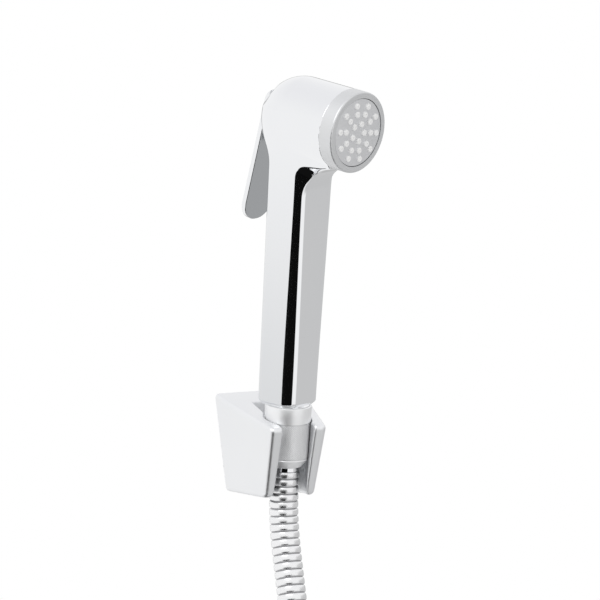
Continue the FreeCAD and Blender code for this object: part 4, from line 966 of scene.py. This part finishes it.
studio = {  # metres
    "floorHeight": -0.332,
    "floorRadius": 1.2,
    "floorAround": 96,
    "floorFade": (0.35, 1.1),
    "floorTones": [(0.86, 0.86, 0.86), (0.88, 0.88, 0.88)],
    "floorSpeck": (300, 3),
    "floorRough": 0.9,
    "walls": (1, 1, 1),
    "ceiling": (0.93, 0.93, 0.945),
    "ceilingFade": (10, 80),
    "plainLight": 0.78,
    "softBox": {"at": (-1.5, -1.1, 1.9), "size": 1.4, "watts": 16.0},
}
screens = [  # azimuth from the front, height above the horizon, softness, all in degrees, and tone
    {"azimuth": (-60, -6), "height": (-78, -11), "soft": 3, "tone": 0.004},
    {"azimuth": (55, 150), "height": (-75, 6), "soft": 12, "tone": 0.62},
    {"azimuth": (8, 150), "height": (-95, -33), "soft": 8, "tone": 0.60},
    {"azimuth": (-190, -30), "height": (-95, -54), "soft": 2, "tone": 0.006},
    {"azimuth": (150, 190), "height": (-95, -54), "soft": 2, "tone": 0.006},
    {"azimuth": (135, 172), "height": (-20, 6), "soft": 9, "tone": 0.5},
]


def makeFloor(plan):
    around, height = plan["floorAround"], plan["floorHeight"]
    points = [(0, 0, height)] + [(*onCircle(plan["floorRadius"], j, around), height) for j in range(around)]
    faces = [(0, 1 + j, 1 + (j + 1) % around) for j in range(around)]
    mesh = bpy.data.meshes.new("floor")
    mesh.from_pydata(points, [], faces)
    floor = bpy.data.objects.new("floor", mesh)
    bpy.context.scene.collection.objects.link(floor)
    floor.visible_glossy = False
    finish = bpy.data.materials.new("paleFloor")
    finish.use_nodes = True
    nodes = Nodes(finish.node_tree)
    where = nodes.place()
    away = nodes.add("ShaderNodeVectorMath", {"operation": "LENGTH"}, {0: where}, take=1)
    tone = nodes.mix(nodes.noise(where, *plan["floorSpeck"]), *plan["floorTones"])
    shader = nodes.add("ShaderNodeBsdfPrincipled",
                       feeds={"Base Color": tone, "Roughness": plan["floorRough"]})
    clear = nodes.add("ShaderNodeBsdfTransparent")
    share = nodes.span(away, *plan["floorFade"])
    blend = nodes.add("ShaderNodeMixShader", feeds={0: share, 1: shader, 2: clear})
    nodes.add("ShaderNodeOutputMaterial", feeds={0: blend})
    mesh.materials.append(finish)


def makeRoom(plan):
    room = bpy.data.worlds.new("whiteRoom")
    bpy.context.scene.world = room
    room.use_nodes = True
    nodes = Nodes(room.node_tree)
    ray = nodes.add("ShaderNodeTexCoord")
    split = nodes.add("ShaderNodeSeparateXYZ", feeds={0: ray})
    x, y, z = (Wire(nodes, socket) for socket in split.socket.node.outputs)
    degrees = 180 / math.pi
    azimuth = nodes.add("ShaderNodeMath", {"operation": "ARCTAN2"}, {0: x, 1: 0 - y}) * degrees
    height = nodes.add("ShaderNodeMath", {"operation": "ARCSINE"}, {0: z}) * degrees
    tone = nodes.mix(nodes.span(height, *plan["ceilingFade"]), plan["walls"], plan["ceiling"])
    for screen in screens:
        (left, right), (low, high), soft = screen["azimuth"], screen["height"], screen["soft"]
        beside = nodes.span(azimuth, left - soft, left) * nodes.span(azimuth, right, right + soft, 1, 0)
        level = nodes.span(height, low - soft, low) * nodes.span(height, high, high + soft, 1, 0)
        tone = nodes.mix(beside * level, tone, (screen["tone"],) * 3)
    rays = nodes.add("ShaderNodeLightPath")
    seen, shiny, through = (Wire(nodes, rays.socket.node.outputs[k])
                            for k in ("Is Camera Ray", "Is Glossy Ray", "Is Transmission Ray"))
    light = (plan["plainLight"],) * 3
    reflected = nodes.mix(shiny, light, tone)
    shown = nodes.mix(seen + through, reflected, (1, 1, 1))
    background = nodes.add("ShaderNodeBackground", feeds={0: shown, 1: 1.0})
    nodes.add("ShaderNodeOutputWorld", feeds={0: background})


def makeLamp(plan):
    data = bpy.data.lights.new("softBox", "AREA")
    data.shape = "SQUARE"
    data.size = plan["size"]
    data.energy = plan["watts"]
    lamp = bpy.data.objects.new("softBox", data)
    bpy.context.scene.collection.objects.link(lamp)
    lamp.location = plan["at"]
    lamp.rotation_euler = Vector(plan["at"]).to_track_quat("Z", "Y").to_euler()


makeFloor(studio)
makeRoom(studio)
makeLamp(studio["softBox"])
bpy.context.scene.view_settings.view_transform = "Standard"
print("studio set")
